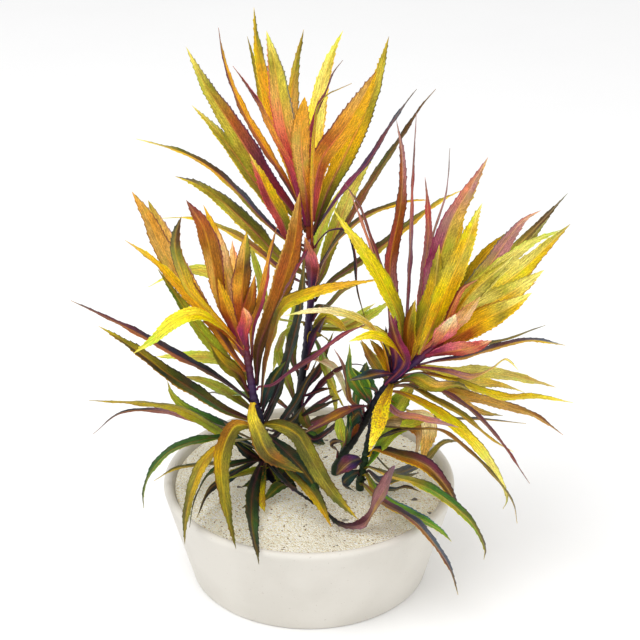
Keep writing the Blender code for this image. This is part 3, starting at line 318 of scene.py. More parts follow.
rightLeaves = {
    "right_leaf_01": dict(row=366, path=((455, 348), (462, 333)), away=-66, width=9.0, show=0.9, ease=0.8,
        slot="leaf_pink", left="plum salmon salmon peach cream cream",
        right="wine rose pink salmon peach cream", rims="pink rose"),
    "right_leaf_02": dict(row=373, path=((445, 374), (465, 371), (485, 367), (500, 361)), away=-46,
        width=8.5, show=0.75, slot="leaf_pink", left="wine magenta pink salmon rose peach",
        right="plum wine rose salmon rose salmon", rims="pink wine"),
    "right_leaf_03": dict(row=383, path=((440, 383), (475, 378), (500, 370), (540, 361), (577, 366)),
        away=-24, width=7.5, show=0.35, slot="leaf_olive", left="night grape slate plum slate slate",
        right="plum brown amber gold gold olive", rims="night amber"),
    "right_leaf_04": dict(row=364, path=((485, 343), (521, 325), (542, 311)), away=-27, width=12.0,
        show=0.95, slot="leaf_gold", left="rust brown gold gold paleOlive straw straw",
        right="rust brown rust gold olive gold straw", rims="brown gold"),
    "right_leaf_05": dict(row=366, path=((455, 355), (490, 328), (525, 308), (555, 287)), away=-5,
        width=12.0, show=0.95, slot="leaf_gold", left="brown gold olive straw paleOlive straw straw",
        right="rust brown gold yellow gold straw straw", rims="olive gold"),
    "right_leaf_06": dict(row=370, path=((465, 344), (499, 313), (533, 286), (559, 261), (582, 239)),
        away=6, width=11.5, show=0.9, slot="leaf_gold", left="gold straw straw lemon straw paleOlive olive",
        right="olive yellow gold paleOlive yellow gold paleOlive", rims="straw brown"),
    "right_leaf_07": dict(row=373, path=((465, 332), (507, 283), (541, 248), (560, 228), (579, 207)),
        away=24, width=8.0, show=0.6, slot="leaf_olive", left="olive gold olive olive umber ink",
        right="olive gold gold olive umber ink", rims="moss moss"),
    "right_leaf_08": dict(row=368,
        path=((446, 350), (470, 318), (497, 283), (519, 251), (534, 234), (551, 225)), away=8, width=11.0,
        show=0.8, ease=0.8, slot="leaf_pink", left="gold paleOlive olive paleOlive mauve mauve salmon",
        right="salmon mauve mauve brown mauve mauve peach", rims="slate mauve"),
    "right_leaf_09": dict(row=375, path=((452, 310), (473, 260), (484, 230), (490, 217)), away=-38,
        width=11.0, show=0.9, slot="leaf_gold", left="olive gold gold yellow paleOlive gold yellow straw",
        right="gold olive yellow gold paleOlive gold straw", rims="olive lemon"),
    "right_leaf_10": dict(row=378, path=((432, 340), (443, 285), (458, 235), (475, 205), (496, 169)),
        away=4, width=12.0, show=0.95, slot="leaf_pink", left="rust mauve mauve magenta mauve salmon mauve",
        right="gold olive gold paleOlive paleOlive tan mauve tan", rims="magenta gold"),
    "right_leaf_11": dict(row=398, path=((400, 345), (393, 285), (404, 220), (406, 170), (400, 130)),
        away=16, width=8.0, show=0.7, slot="leaf_pink", left="plum rose rust rose rust rust mauve",
        right="plum rust mauve rust rust mauve plum", rims="slate plum"),
    "right_leaf_12": dict(row=394, path=((404, 345), (388, 305), (368, 272), (345, 240), (334, 224)),
        away=-22, width=9.5, show=0.75, slot="leaf_gold",
        left="darkGreen olive lime yellow yellow lemon lemon",
        right="darkGreen moss olive yellow yellow lemon yellow", rims="lemon olive"),
    "right_leaf_13": dict(row=396,
        path=((425, 396), (455, 401), (485, 413), (515, 421), (545, 420), (585, 426)), away=-8, width=8.0,
        show=0.45, slot="leaf_gold", left="umber brown olive yellow gold yellow lemon",
        right="brown gold yellow yellow lemon yellow lemon", rims="moss lemon"),
    "right_leaf_14": dict(row=402, path=((415, 404), (445, 413), (475, 432), (505, 462), (540, 511)),
        away=-24, width=7.5, show=0.25, slot="leaf_pink", left="wine wine plum plum wine plum",
        rims="plum rust"),
    "right_leaf_15": dict(row=412,
        path=((400, 415), (430, 428), (460, 449), (482, 470), (505, 500), (516, 528), (512, 538)), away=-44,
        width=8.5, show=0.65, slot="leaf_gold", left="brown gold gold yellow lemon straw straw moss",
        right="brown gold yellow yellow lemon straw straw moss", rims="umber lemon"),
    "right_leaf_16": dict(row=404, path=((386, 430), (380, 455), (371, 478)), away=-40, width=7.6,
        show=0.95, slot="leaf_gold", left="umber gold yellow gold lemon yellow",
        right="umber gold gold yellow lemon straw", rims="yellow lemon", rib="umber brown gold gold",
        speckled=0.6),
}
rightSmallLeaves = {
    "pinkUp": dict(row=362, path=((460, 347), (475, 330), (488, 315)), away=-42, width=8.0, show=0.8,
        left="salmon orange peach tan tan", right="rose salmon peach peach tan", rims="salmon peach"),
    "sideThin": dict(row=377, path=((480, 368), (520, 359), (540, 351), (556, 345)), away=8, width=6.0,
        show=0.3, left="umber olive moss olive slate", rims="moss olive"),
    "fanGreen": dict(row=366, path=((472, 319), (507, 284), (541, 258), (573, 245)), away=-16, width=10.0,
        show=0.8, ease=0.8, left="gold paleOlive paleOlive straw lime", rims="lime straw"),
    "fanBack": dict(row=376, path=((474, 305), (532, 262), (561, 231)), away=50, width=10.0, show=0.8,
        ease=0.7, left="moss olive olive olive moss", rims="olive moss"),
    "fanInner": dict(row=375, path=((445, 340), (472, 302), (503, 261), (533, 243)), away=20, width=9.6,
        show=0.9, ease=0.8, left="amber gold olive gold olive", rims="olive gold"),
    "darkRed": dict(row=376, path=((448, 350), (459, 325), (470, 306), (486, 297)), away=-22, width=6.0,
        show=0.7, left="wine wine wine wine plum", right="rust salmon rust salmon rust", rims="plum rust"),
    "upright": dict(row=386, path=((422, 355), (438, 315), (445, 260)), away=-12, width=10.0, show=0.95,
        left="brown olive olive gold olive paleOlive", right="brown gold olive paleOlive olive gold",
        rims="olive moss"),
    "uprightBack": dict(row=380, path=((438, 340), (455, 290), (470, 235)), away=12, width=10.0, show=0.9,
        left="brown gold olive gold gold", rims="olive gold"),
    "thinBack": dict(row=382, path=((428, 310), (438, 250), (452, 205), (456, 160)), away=28, width=6.0,
        show=0.25, left="grape mauve plum mauve slate", rims="plum slate"),
    "thinInner": dict(row=384, path=((425, 320), (433, 250), (432, 215), (430, 190)), away=10, width=7.0,
        show=0.6, left="rust salmon mauve mauve rose plum", rims="rose mauve"),
    "thinTall": dict(row=391, path=((410, 340), (414, 260), (416, 200), (421, 123)), away=0, width=6.5,
        show=0.3, left="grape lilac magenta lilac rose plum mauve", rims="grape plum"),
    "leftThin": dict(row=401, path=((395, 320), (373, 264), (360, 228), (350, 202)), away=22, width=6.0,
        show=0.35, left="plum rose mauve salmon mauve", rims="rose plum"),
    "leftMaroon": dict(row=403, path=((393, 350), (388, 300), (373, 255), (362, 222), (345, 195)), away=4,
        width=6.0, show=0.25, left="ink plum wine plum", rims="ink plum"),
    "leftPurple": dict(row=406, path=((408, 385), (400, 360), (392, 330)), away=-30, width=7.0, show=0.7,
        left="night grape magenta plum magenta", rims="grape magenta"),
    "leftArch": dict(row=402, path=((385, 365), (368, 343), (345, 333), (315, 330), (283, 335)), away=-36,
        width=6.5, show=0.45, left="rose orange gold straw cream straw", rims="gold cream"),
    "leftBow": dict(row=390, path=((395, 365), (375, 356), (350, 362)), away=-38, width=6.5, show=0.5,
        left="umber gold yellow yellow lemon", rims="gold lemon"),
    "leftOlive": dict(row=408, path=((372, 375), (362, 362)), away=26, width=7.0, show=0.7,
        left="moss olive paleOlive olive", rims="olive moss"),
    "leftLow": dict(row=432, path=((355, 432), (330, 444), (300, 460)), away=-20, width=7.5, show=0.6,
        left="ink plum brown plum umber", rims="ink plum"),
    "leftGreen": dict(row=430, path=((358, 410), (350, 395), (351, 365)), away=-10, width=7.0, show=0.7,
        left="darkGreen green leafGreen green lime", rims="green lime"),
    "leftDark": dict(row=446, path=((357, 425), (368, 392)), away=18, width=6.5, show=0.6,
        left="ink darkGreen green leafGreen green darkGreen", rims="darkGreen green"),
    "leftFoot": dict(row=472, path=((345, 465), (352, 440)), away=-14, width=6.5, show=0.6,
        left="darkGreen green leafGreen", rims="green teal"),
    "sideYellow": dict(row=392, path=((430, 390), (456, 395), (500, 396), (540, 403), (567, 410)), away=14,
        width=10.0, show=0.6, left="yellow lemon straw straw tan straw",
        right="gold yellow lemon straw straw tan", rims="straw lemon"),
    "sideCurl": dict(row=386, path=((455, 394), (478, 400), (500, 391), (515, 381), (528, 392)), away=-26,
        width=6.0, show=0.4, left="wine plum mauve tan straw straw", rims="plum tan"),
    "sideBroad": dict(row=402, path=((420, 400), (440, 410), (465, 408), (478, 414)), away=-36, width=8.0,
        show=0.8, left="moss green olive tan moss umber", right="moss moss olive olive olive umber",
        rims="slate moss"),
    "sideTan": dict(row=408, path=((440, 411), (475, 420), (510, 429), (545, 440), (575, 460)), away=6,
        width=8.5, show=0.55, left="umber brown tan tan brown plum", right="brown tan tan tan tan rust",
        rims="night amber"),
    "sideLow": dict(row=420, path=((415, 436), (450, 443), (490, 444), (536, 448)), away=4, width=6.0,
        show=0.3, left="ink olive moss slate slate slate", right="umber gold gold olive gold moss",
        rims="night gold"),
    "sideDrop": dict(row=408, path=((410, 408), (440, 423), (470, 440), (500, 465), (523, 478)), away=-12,
        width=7.0, show=0.45, left="umber moss olive olive gold olive",
        right="brown olive yellow gold gold gold", rims="umber lemon"),
    "sideMauve": dict(row=420, path=((400, 437), (425, 443), (465, 452)), away=-40, width=7.0, show=0.45,
        left="plum mauve salmon mauve lilac", rims="lilac mauve"),
    "innerStalk": dict(row=439, path=((352, 425), (347, 400), (343, 385), (335, 370)), away=12, width=5.0,
        show=0.5, left="plum brown plum mauve", rims="plum tan"),
}

frontLeaves = {
    "front_leaf_01": dict(row=492,
        path=((395, 503), (425, 512), (455, 530), (480, 554), (493, 580), (492, 591)), away=-72, width=8.0,
        show=0.6, ease=0.8, slot="leaf_green", left="ink moss olive green green moss slate",
        right="moss gold gold leafGreen olive leafGreen moss", rims="night yellow"),
    "front_leaf_02": dict(row=510, path=((385, 530), (420, 552), (440, 575), (457, 602), (465, 628)),
        away=-88, width=8.0, show=0.5, ease=0.6, slot="leaf_pink",
        left="umber brown plum night slate slate ink", right="moss olive brown plum brown plum ink",
        rims="slate gold"),
}
frontSmallLeaves = {
    "sideHang": dict(row=452, path=((420, 454), (445, 455), (477, 478), (508, 510), (523, 533), (527, 553)),
        away=-40, width=6.0, show=0.25, left="slate umber brown umber moss slate", rims="night gold"),
    "backHang": dict(row=452, path=((425, 440), (433, 452), (427, 488)), away=12, width=10.0, show=0.9,
        left="olive tan cream tan tan", rims="tan straw"),
    "sideGrey": dict(row=480, path=((400, 500), (430, 487), (450, 468), (470, 467)), away=20, width=7.5,
        show=0.5, left="slate moss slate olive slate", rims="slate olive"),
    "sideDark": dict(row=470, path=((383, 463), (410, 455), (425, 454)), away=-20, width=6.0, show=0.35,
        left="ink ink ink", rims="ink ink"),
    "sideGreen": dict(row=490, path=((372, 492), (385, 470), (400, 455), (432, 445)), away=-8, width=9.5,
        show=0.7, left="leafGreen leafGreen lime lime paleOlive", rims="lime lime"),
    "lowBrown": dict(row=480, path=((376, 475), (405, 482), (431, 492), (448, 509), (468, 540)), away=-36,
        width=8.5, show=0.75, left="ink night umber plum plum umber slate",
        right="gold brown brown brown umber umber slate", rims="night gold"),
    "lowGreen": dict(row=500, path=((378, 518), (392, 532), (420, 546), (445, 560), (458, 572)), away=-58,
        width=8.0, show=0.65, ease=1.1, left="moss leafGreen leafGreen green leafGreen green",
        right="olive olive tan leafGreen leafGreen leafGreen", rims="blue gold"),
    "lowShort": dict(row=506, path=((380, 515), (397, 518), (410, 515), (426, 520)), away=-12, width=6.0,
        show=0.35, left="ink teal ink ink", rims="ink yellow"),
    "innerPurple": dict(row=486, path=((352, 489), (337, 502)), away=-12, width=9.0, show=0.9,
        left="ink night grape plum ink", right="ink grape plum umber night", rims="umber night"),
}

# Leaves that the frame has no solids for: they fill the shade between the stems, within reach of the others.
# The darkest of them, in ink and night, are leaves whose colour is painted shade.
middleUnderLeaves = {
    "archDark": dict(row=366, path=((313, 356), (322, 356), (333, 366)), away=-16, width=6.5, show=0.6,
        left="ink moss olive ink", rims="gold ink"),
    "hookDark": dict(row=338, path=((321, 324), (331, 326), (341, 327)), away=-14, width=6.0, show=0.5,
        left="night ink moss slate", rims="ink moss"),
    "yellowBent": dict(row=356, path=((325, 338), (338, 343), (350, 353)), away=10, width=8.0, show=0.8,
        left="moss olive yellow gold olive", rims="lemon olive"),
    "greyRise": dict(row=336, path=((328, 325), (344, 309), (360, 302), (381, 296)), away=16, width=6.0,
        show=0.5, left="slate moss olive gold gold", rims="ink lemon"),
    "backWide": dict(row=356, path=((345, 347), (370, 336), (397, 318)), away=44, width=8.5, show=0.8,
        left="olive lime paleOlive lime straw", rims="lime straw"),
    "stub": dict(row=432, path=((305, 446), (312, 456)), away=-10, width=7.5, show=0.8,
        left="umber olive moss brown", rims="umber moss"),
    "lowDark": dict(row=456, path=((313, 465), (330, 456), (346, 440)), away=-16, width=6.5, show=0.55,
        left="darkGreen ink ink ink", rims="ink teal"),
    "lowLime": dict(row=450, path=((314, 456), (324, 448), (334, 436)), away=18, width=8.0, show=0.8,
        left="darkGreen green lime lime", rims="lime teal"),
    "lowGreen": dict(row=455, path=((300, 461), (311, 463), (327, 471)), away=-6, width=8.5, show=0.8,
        left="darkGreen green leafGreen teal green", rims="teal lime"),
    "leftRise": dict(row=430, path=((290, 415), (283, 396), (277, 372), (283, 352)), away=26, width=8.0,
        show=0.7, left="darkGreen olive lime lime straw", rims="lime moss"),
    "leftLine": dict(row=442, path=((288, 433), (272, 421), (262, 408)), away=10, width=5.0, show=0.5,
        left="ink umber olive plum", rims="ink umber"),
    "rightLine": dict(row=420, path=((308, 408), (319, 394), (327, 372), (334, 352)), away=6, width=6.5,
        show=0.6, left="ink night umber moss olive", rims="ink moss"),
    "hangLime": dict(row=378, path=((322, 372), (328, 392), (335, 418), (337, 441)), away=22, width=7.5,
        show=0.7, left="moss lime lime straw lime", rims="lime olive"),
    "behindStem": dict(row=400, path=((292, 385), (290, 358), (294, 330), (300, 300)), away=36, width=8.5,
        show=0.8, left="darkGreen moss lime lime olive", rims="lime moss"),
    "crossDark": dict(row=448, path=((306, 437), (325, 424), (345, 411)), away=20, width=5.0, show=0.6,
        left="ink night plum ink", rims="ink plum"),
    "lowLine": dict(row=456, path=((308, 449), (330, 441), (352, 438)), away=26, width=5.5, show=0.7,
        left="ink umber moss ink", rims="ink moss"),
    "stalkUp": dict(row=444, path=((301, 425), (308, 404), (317, 380)), away=-6, width=5.0, show=0.6,
        left="ink night ink moss", rims="ink ink"),
}
leftUnderLeaves = {
    "baseGreen": dict(row=487, path=((285, 508), (275, 516), (261, 530)), away=-34, width=9.5, show=0.9,
        left="darkGreen green moss green moss", rims="darkGreen olive"),
    "baseLime": dict(row=484, path=((266, 496), (250, 498), (236, 502), (223, 506)), away=-22, width=5.5,
        show=0.7, left="green olive lime olive lime", rims="moss lime"),
    "baseDark": dict(row=486, path=((249, 487), (238, 475), (227, 463)), away=-10, width=7.5, show=0.7,
        left="ink ink teal ink", rims="ink ink"),
    "baseNight": dict(row=487, path=((270, 500), (281, 507), (296, 517)), away=-26, width=9.0, show=0.9,
        left="night ink ink darkGreen ink", rims="ink night"),
    "toothedUp": dict(row=487, path=((255, 506), (247, 512), (238, 515)), away=-26, width=5.5, show=0.9,
        left="teal moss green darkGreen", rims="green ink"),
    "toothedLow": dict(row=487, path=((256, 518), (250, 530), (238, 537)), away=-38, width=6.0, show=0.9,
        left="darkGreen green green moss", rims="green ink"),
    "darkLow": dict(row=480, path=((274, 477), (292, 485), (306, 499), (316, 510)), away=-20, width=8.5,
        show=0.8, left="ink darkGreen darkGreen green", rims="ink teal"),
    "stalkRight": dict(row=462, path=((272, 462), (282, 452), (292, 444), (304, 428)), away=10, width=6.5,
        show=0.6, left="ink ink darkGreen ink", rims="ink ink"),
    "stalkInner": dict(row=452, path=((268, 436), (276, 414), (285, 385), (294, 362)), away=14, width=7.5,
        show=0.6, left="ink darkGreen moss darkGreen moss", rims="teal ink"),
    "topLeft": dict(row=374, path=((232, 352), (222, 326), (213, 296)), away=-16, width=8.0, show=0.85,
        left="plum magenta rust orange amber", right="plum rust orange gold amber", rims="plum amber"),
    "topRight": dict(row=370, path=((240, 348), (247, 322), (252, 292)), away=-18, width=7.0, show=0.8,
        left="wine plum rust brown orange", right="plum wine brown rust brown", rims="wine ink"),
    "topFront": dict(row=364, path=((240, 352), (243, 340), (240, 326)), away=-30, width=7.0, show=0.9,
        left="plum magenta rose salmon", right="magenta rose salmon peach", rims="rose plum"),
    "lowBehind": dict(row=440, path=((236, 425), (212, 410), (192, 402), (170, 398)), away=30, width=7.0,
        show=0.7, left="darkGreen olive lime paleOlive straw", rims="lime lime"),
    "legLeft": dict(row=410, path=((236, 398), (218, 384), (204, 364)), away=-10, width=8.0, show=0.8,
        left="plum umber olive moss olive", right="umber brown olive gold olive", rims="olive umber"),
}
rightUnderLeaves = {
    "oliveOne": dict(row=406, path=((380, 391), (371, 377), (363, 360)), away=4, width=7.0, show=0.7,
        left="moss olive brown gold", rims="ink olive"),
    "oliveTwo": dict(row=402, path=((388, 385), (380, 371), (372, 360)), away=-6, width=6.5, show=0.7,
        left="umber gold brown olive", rims="gold umber"),
    "nightUp": dict(row=400, path=((393, 378), (389, 364), (389, 346)), away=6, width=7.0, show=0.7,
        left="night grape ink ink", rims="ink night"),
    "barDark": dict(row=398, path=((383, 396), (366, 400), (350, 403)), away=-22, width=7.5, show=0.65,
        left="night grape ink teal ink", rims="ink teal"),
    "greenWide": dict(row=426, path=((367, 416), (360, 404), (353, 389)), away=2, width=9.5, show=0.9,
        left="teal green green leafGreen", right="green leafGreen green green", rims="teal lime"),
    "greenHigh": dict(row=420, path=((370, 408), (367, 396), (369, 383)), away=16, width=8.5, show=0.8,
        left="teal green teal green", rims="teal green"),
    "tealLow": dict(row=444, path=((360, 437), (353, 444), (350, 458)), away=-12, width=9.0, show=0.85,
        left="ink teal darkGreen teal", rims="ink green"),
    "rustUp": dict(row=464, path=((357, 452), (353, 440), (350, 428)), away=-10, width=5.0, show=0.6,
        left="umber rust brown rust", rims="umber plum"),
    "hookLow": dict(row=484, path=((338, 476), (331, 471), (334, 467), (345, 467)), away=-10, width=4.0,
        show=0.5, left="ink ink night", rims="ink ink"),
    "yellowIn": dict(row=392, path=((398, 378), (390, 362), (376, 349), (358, 346)), away=8, width=7.0,
        show=0.6, left="olive gold yellow straw lemon", rims="lemon olive"),
    "purpleIn": dict(row=398, path=((400, 380), (397, 358), (399, 335)), away=-20, width=7.5, show=0.8,
        left="night grape magenta plum magenta", rims="plum night"),
    "brownIn": dict(row=388, path=((412, 368), (413, 345), (420, 318)), away=-8, width=8.0, show=0.8,
        left="plum brown rust brown olive", right="wine rust brown olive gold", rims="plum gold"),
    "fanGold": dict(row=370, path=((456, 340), (478, 312), (502, 291), (523, 272)), away=-20, width=9.5,
        show=0.9, left="rust olive gold paleOlive olive", right="amber gold straw olive straw",
        rims="olive moss"),
    "fanLow": dict(row=372, path=((470, 352), (498, 336), (520, 318), (546, 300)), away=2, width=9.0,
        show=0.9, left="rust brown rust gold gold", right="brown rust gold olive gold", rims="rust brown"),
    "sideOlive": dict(row=398, path=((432, 403), (462, 421), (488, 436), (512, 440)), away=20, width=7.5,
        show=0.6, left="moss olive gold tan olive", rims="olive night"),
    "sideGold": dict(row=390, path=((440, 396), (470, 404), (505, 407), (534, 415)), away=30, width=8.0,
        show=0.6, left="olive gold straw gold straw", rims="lemon olive"),
    "limeStand": dict(row=478, path=((344, 470), (341, 453), (340, 436)), away=22, width=7.0, show=0.85,
        left="green lime lime lime", rims="lime green"),
    "darkStand": dict(row=466, path=((357, 452), (363, 440), (366, 427)), away=16, width=5.5, show=0.7,
        left="ink darkGreen ink teal", rims="ink ink"),
}
frontUnderLeaves = {
    "limeUp": dict(row=450, path=((393, 438), (407, 421), (421, 401)), away=24, width=10.0, show=0.9,
        left="green lime leafGreen lime paleOlive", right="leafGreen lime lime paleOlive straw",
        rims="lime leafGreen"),
    "paleSide": dict(row=462, path=((392, 452), (412, 444), (438, 443)), away=30, width=8.0, show=0.7,
        left="olive paleOlive tan straw tan", rims="lime tan"),
    "footDark": dict(row=500, path=((352, 503), (344, 512), (356, 519)), away=-16, width=7.0, show=0.7,
        left="ink teal night teal", rims="ink night"),
    "greyOut": dict(row=498, path=((382, 508), (402, 506), (424, 500)), away=-4, width=7.0, show=0.6,
        left="ink slate moss slate", rims="slate gold"),
    "tanHang": dict(row=452, path=((412, 446), (424, 455), (424, 470), (418, 490)), away=4, width=8.0,
        show=0.8, left="moss taupe brown taupe taupe", rims="umber brown"),
}

groups = {
    "middle": (middleLeaves, middleSmallLeaves, middleUnderLeaves),
    "left": (leftLeaves, leftSmallLeaves, leftUnderLeaves),
    "right": (rightLeaves, rightSmallLeaves, rightUnderLeaves),
    "front": (frontLeaves, frontSmallLeaves, frontUnderLeaves),
}

# The frame's leaves leave their stems at turns that keep their feet apart. These are set closer, and their
# broad bases clasp the stem. In mm: gap is how far off the stem's skin a frame leaf starts, sunk how far
# into it these reach, out and up how far from its foot the frame leaf's elbow is, and hug and climb the same
# for these. straight is how much of a frame leaf's turn away from its route is undone. Places of the route
# nearer than nearest to the elbow are left out. Feet less than reach apart in height push each other away,
# in so many rounds, until they are up to turn apart.
growth = dict(gap=0.7, sunk=1.2, out=1.8, up=1.0, hug=0.5, climb=1.3, straight=0.85, nearest=4.0,
              reach=3.0, turn=math.radians(52), rounds=60, places=61, curveSteps=16, steps=7, smallSteps=6)


def linear(name):
    # sRGB hex to linear red, green, blue
    code = tones[name]
    levels = np.array([int(code[k:k + 2], 16) / 255 for k in (0, 2, 4)])
    return np.where(levels < 0.04045, levels / 12.92, ((levels + 0.055) / 1.055) ** 2.4)


def blended(words, places):
    # The tones that these words name, spaced evenly from 0 to 1, at each of these places
    stops = np.array([linear(word) for word in words.split()])
    even = np.linspace(0, 1, len(stops))
    return np.stack([np.interp(places, even, stops[:, k]) for k in range(3)], axis=1)


def smooth(low, high, value):
    # 0 below low, 1 above high, a smooth step between
    t = np.clip((value - low) / (high - low), 0, 1)
    return t * t * (3 - 2 * t)


def viewAxes():
    tilt = math.radians(sight["elevation"])
    ahead = np.array([0.0, math.cos(tilt), -math.sin(tilt)])
    upward = np.array([0.0, math.sin(tilt), math.cos(tilt)])
    return ahead, upward, np.array(sight["target"]) - sight["distance"] * ahead


def sightPoint(column, row, depth):
    # The place that shows at this column and row and lies at this depth: eye + ray, cut at y = depth
    ahead, upward, eye = viewAxes()
    scale = sight["step"] / sight["distance"]
    ray = ahead + upward * (sight["middle"] - row) * scale
    ray[0] += (column - sight["middle"]) * scale
    return eye + ray * (depth - eye[1]) / ray[1]


def picturePlace(point):
    # The column and row at which a place shows: its offset from the eye, divided by its distance ahead
    ahead, upward, eye = viewAxes()
    offset = point - eye
    scale = sight["distance"] / sight["step"] / (offset @ ahead)
    return np.array([sight["middle"] + offset[0] * scale, sight["middle"] - (offset @ upward) * scale])


def unit(vectors):
    return vectors / np.maximum(np.linalg.norm(vectors, axis=-1, keepdims=True), 1e-9)


def spread(points, count):
    # Even places along a cubic through the points, whose slopes weigh each leg by the root of its length
    points = np.asarray(points, float)
    legs = np.diff(points, axis=0)
    gaps = np.sqrt(np.linalg.norm(legs, axis=1))[:, None]
    slopes = legs / gaps
    inner = (slopes[:-1] * gaps[1:] + slopes[1:] * gaps[:-1]) / (gaps[1:] + gaps[:-1])
    turns = np.vstack([slopes[:1], inner, slopes[-1:]])
    t = np.linspace(0, 1, growth["curveSteps"])[None, :, None]
    between = (2 * t ** 3 - 3 * t ** 2 + 1) * points[:-1, None] + (3 * t ** 2 - 2 * t ** 3) * points[1:, None]
    bend = (t ** 3 - 2 * t ** 2 + t) * turns[:-1, None] + (t ** 3 - t ** 2) * turns[1:, None]
    curve = between + bend * gaps[:, None]
    curve = np.vstack([curve[0], curve[1:, 1:].reshape(-1, 3)])
    run = np.concatenate([[0], np.cumsum(np.linalg.norm(np.diff(curve, axis=0), axis=1))])
    wanted = np.linspace(0, run[-1], count)
    return np.column_stack([np.interp(wanted, run, curve[:, axis]) for axis in range(3)])


def tangents(points):
    return unit(np.gradient(points, axis=0))


def carriedSides(points, firstSide):
    # A side direction at each point, carried along the curve without twisting
    along = tangents(points)
    sides = [unit(firstSide - along[0] * (firstSide @ along[0]))]
    for direction in along[1:]:
        sides.append(unit(sides[-1] - direction * (sides[-1] @ direction)))
    return along, np.array(sides)


def stemPlace(stem, row):
    # The stem's centre, direction and radius where it shows at this row, and the distance up the stem
    axis = stem["axis"]
    index = int(np.argmin([abs(picturePlace(point)[1] - row) for point in axis]))
    part = index / (len(axis) - 1)
    radius = stem["foot"] + (stem["tip"] - stem["foot"]) * part
    return axis[index], tangents(axis)[index], radius, part * stem["height"]


def route(stem, leaf):
    # The midline's places: the depth grows with the share of the picture path already gone
    centre = stemPlace(stem, leaf["row"])[0]
    places = np.array([(picturePlace(centre)[0], leaf["row"]), *leaf["path"]], float)
    legs = np.linalg.norm(np.diff(places, axis=0), axis=1)
    parts = np.cumsum(legs) / legs.sum()
    return [sightPoint(column, row, centre[1] + leaf["away"] * part ** leaf.get("ease", 1.0))
            for (column, row), part in zip(leaf["path"], parts)]


def around(upright):
    across = unit(np.array([1.0, 0.0, 0.0]) - upright * upright[0])
    return across, np.cross(upright, across)


def straightTurn(stem, leaf):
    # The turn around the stem at which a leaf would leave straight towards its route, and its height
    centre, upright, _, height = stemPlace(stem, leaf["row"])
    across, other = around(upright)
    towards = route(stem, leaf)[0] - centre
    return math.atan2(towards @ other, towards @ across), height


def footTurns(stem, leaves):
    # The turn at which each leaf leaves: towards its route, but clear of its neighbours, and how far that
    # is from straight towards its route
    wanted, heights = zip(*[straightTurn(stem, leaf) for leaf in leaves])
    turns = list(wanted)
    for _ in range(growth["rounds"]):
        for one in range(len(leaves)):
            for two in range(one):
                closeness = 1 - ((heights[one] - heights[two]) / growth["reach"]) ** 2
                if closeness <= 0:
                    continue
                apart = math.remainder(turns[one] - turns[two], 2 * math.pi)
                short = growth["turn"] * math.sqrt(closeness) - abs(apart)
                if short > 0:
                    push = math.copysign(short / 2, apart)
                    turns[one] += push
                    turns[two] -= push
    return [(turn, math.remainder(first - turn, 2 * math.pi)) for turn, first in zip(turns, wanted)]


def leafPoints(stem, leaf, turn, out, up):
    # Foot, elbow and route of the midline, and the direction in which the leaf leaves its stem
    centre, upright, radius, _ = stemPlace(stem, leaf["row"])
    across, other = around(upright)
    outward = across * math.cos(turn) + other * math.sin(turn)
    foot = centre + outward * (radius + growth["gap"])
    elbow = foot + outward * out + upright * up
    points = [point for point in route(stem, leaf) if np.linalg.norm(point - elbow) > growth["nearest"]]
    return [foot, elbow, *points], outward


# Lengths in mm. Ranges run along a leaf, from 0 at its foot to 1 at its tip, or out from 0 at its midrib to
# 1 at its margin. thinner and ribFade are the shares lost on the way to the tip. lift is how much a blade
# turns its upper side upwards, next to 1 for towards its stem.
blade = dict(
    widest=0.42, footTaper=0.6, tipTaper=1.8, bluntTaper=4.0, petioleWidth=3.0, petioleShare=0.4,
    fold=0.16, foldAtRib=0.75, lift=0.7, twist=math.radians(9), twistFrom=0.3,
    thickness=0.42, thinner=0.45, edge=0.85, petiole=0.8, petioleEnd=0.035,
    ribHeight=0.34, ribWidth=0.55, ribGroove=0.35, ribFade=0.7, ribStart=0.05,
    spacing=0.6, columns=(0, 0.06, 0.18, 0.4, 0.64, 0.82, 0.92, 1),
    smallSpacing=1.05, smallColumns=(0, 0.1, 0.4, 0.75, 0.92, 1), fewest=40, most=240, measured=80,
    seeds=100,
)

teeth = dict(pitch=4.2, pitches=(0.7, 1.15), phases=(1, 6), height=0.85, low=0.45, base=0.2, sharpness=2.6,
             margin=(0.6, 1.0), drift=0.35, driftLength=2.3, scatter=(12.99, 437.6), foot=(0.12, 0.3),
             tip=(0.94, 0.99), fullWidth=9, tallest=1.1)

waves = dict(length=24.0, height=0.45, phases=(0, 6), parts=((1, 1.2), (0.62, -1.6)), fullWidth=10,
             sizes=(0.5, 1.2), foot=(0.1, 0.35), tip=(0.85, 1))

leafTint = dict(blend=0.1, rim=(0.78, 0.96), rimShare=0.85, rimStart=(0.02, 0.2), ribWidth=0.55,
                ribShare=0.75, ribFade=0.8, vivid=1.05, darkest=0.001, shades=(0.92, 1.08))


def bladeSides(points, outward, show):
    # Side directions of a blade that shows this much of its width to the front, carried both ways from
    # its middle, and whether each side lies to the right in the picture
    middle = len(points) // 2
    along = tangents(points)[middle]
    line = unit(points[middle] - viewAxes()[2])
    flat = unit(np.cross(line, along))
    edge = np.cross(along, flat)
    inward = np.array([0.0, 0.0, blade["lift"]]) - outward
    lean = math.acos(show)
    choices = [flat * math.cos(turn) + edge * math.sin(turn) for turn in (lean, -lean)]
    side = max(choices, key=lambda choice: abs(np.cross(choice, along) @ inward))
    if np.cross(side, along) @ inward < 0:
        side = -side
    _, back = carriedSides(points[middle::-1], side)
    _, front = carriedSides(points[middle:], side)
    return np.vstack([back[::-1], front[1:]]), 1.0 if side @ flat > 0 else -1.0


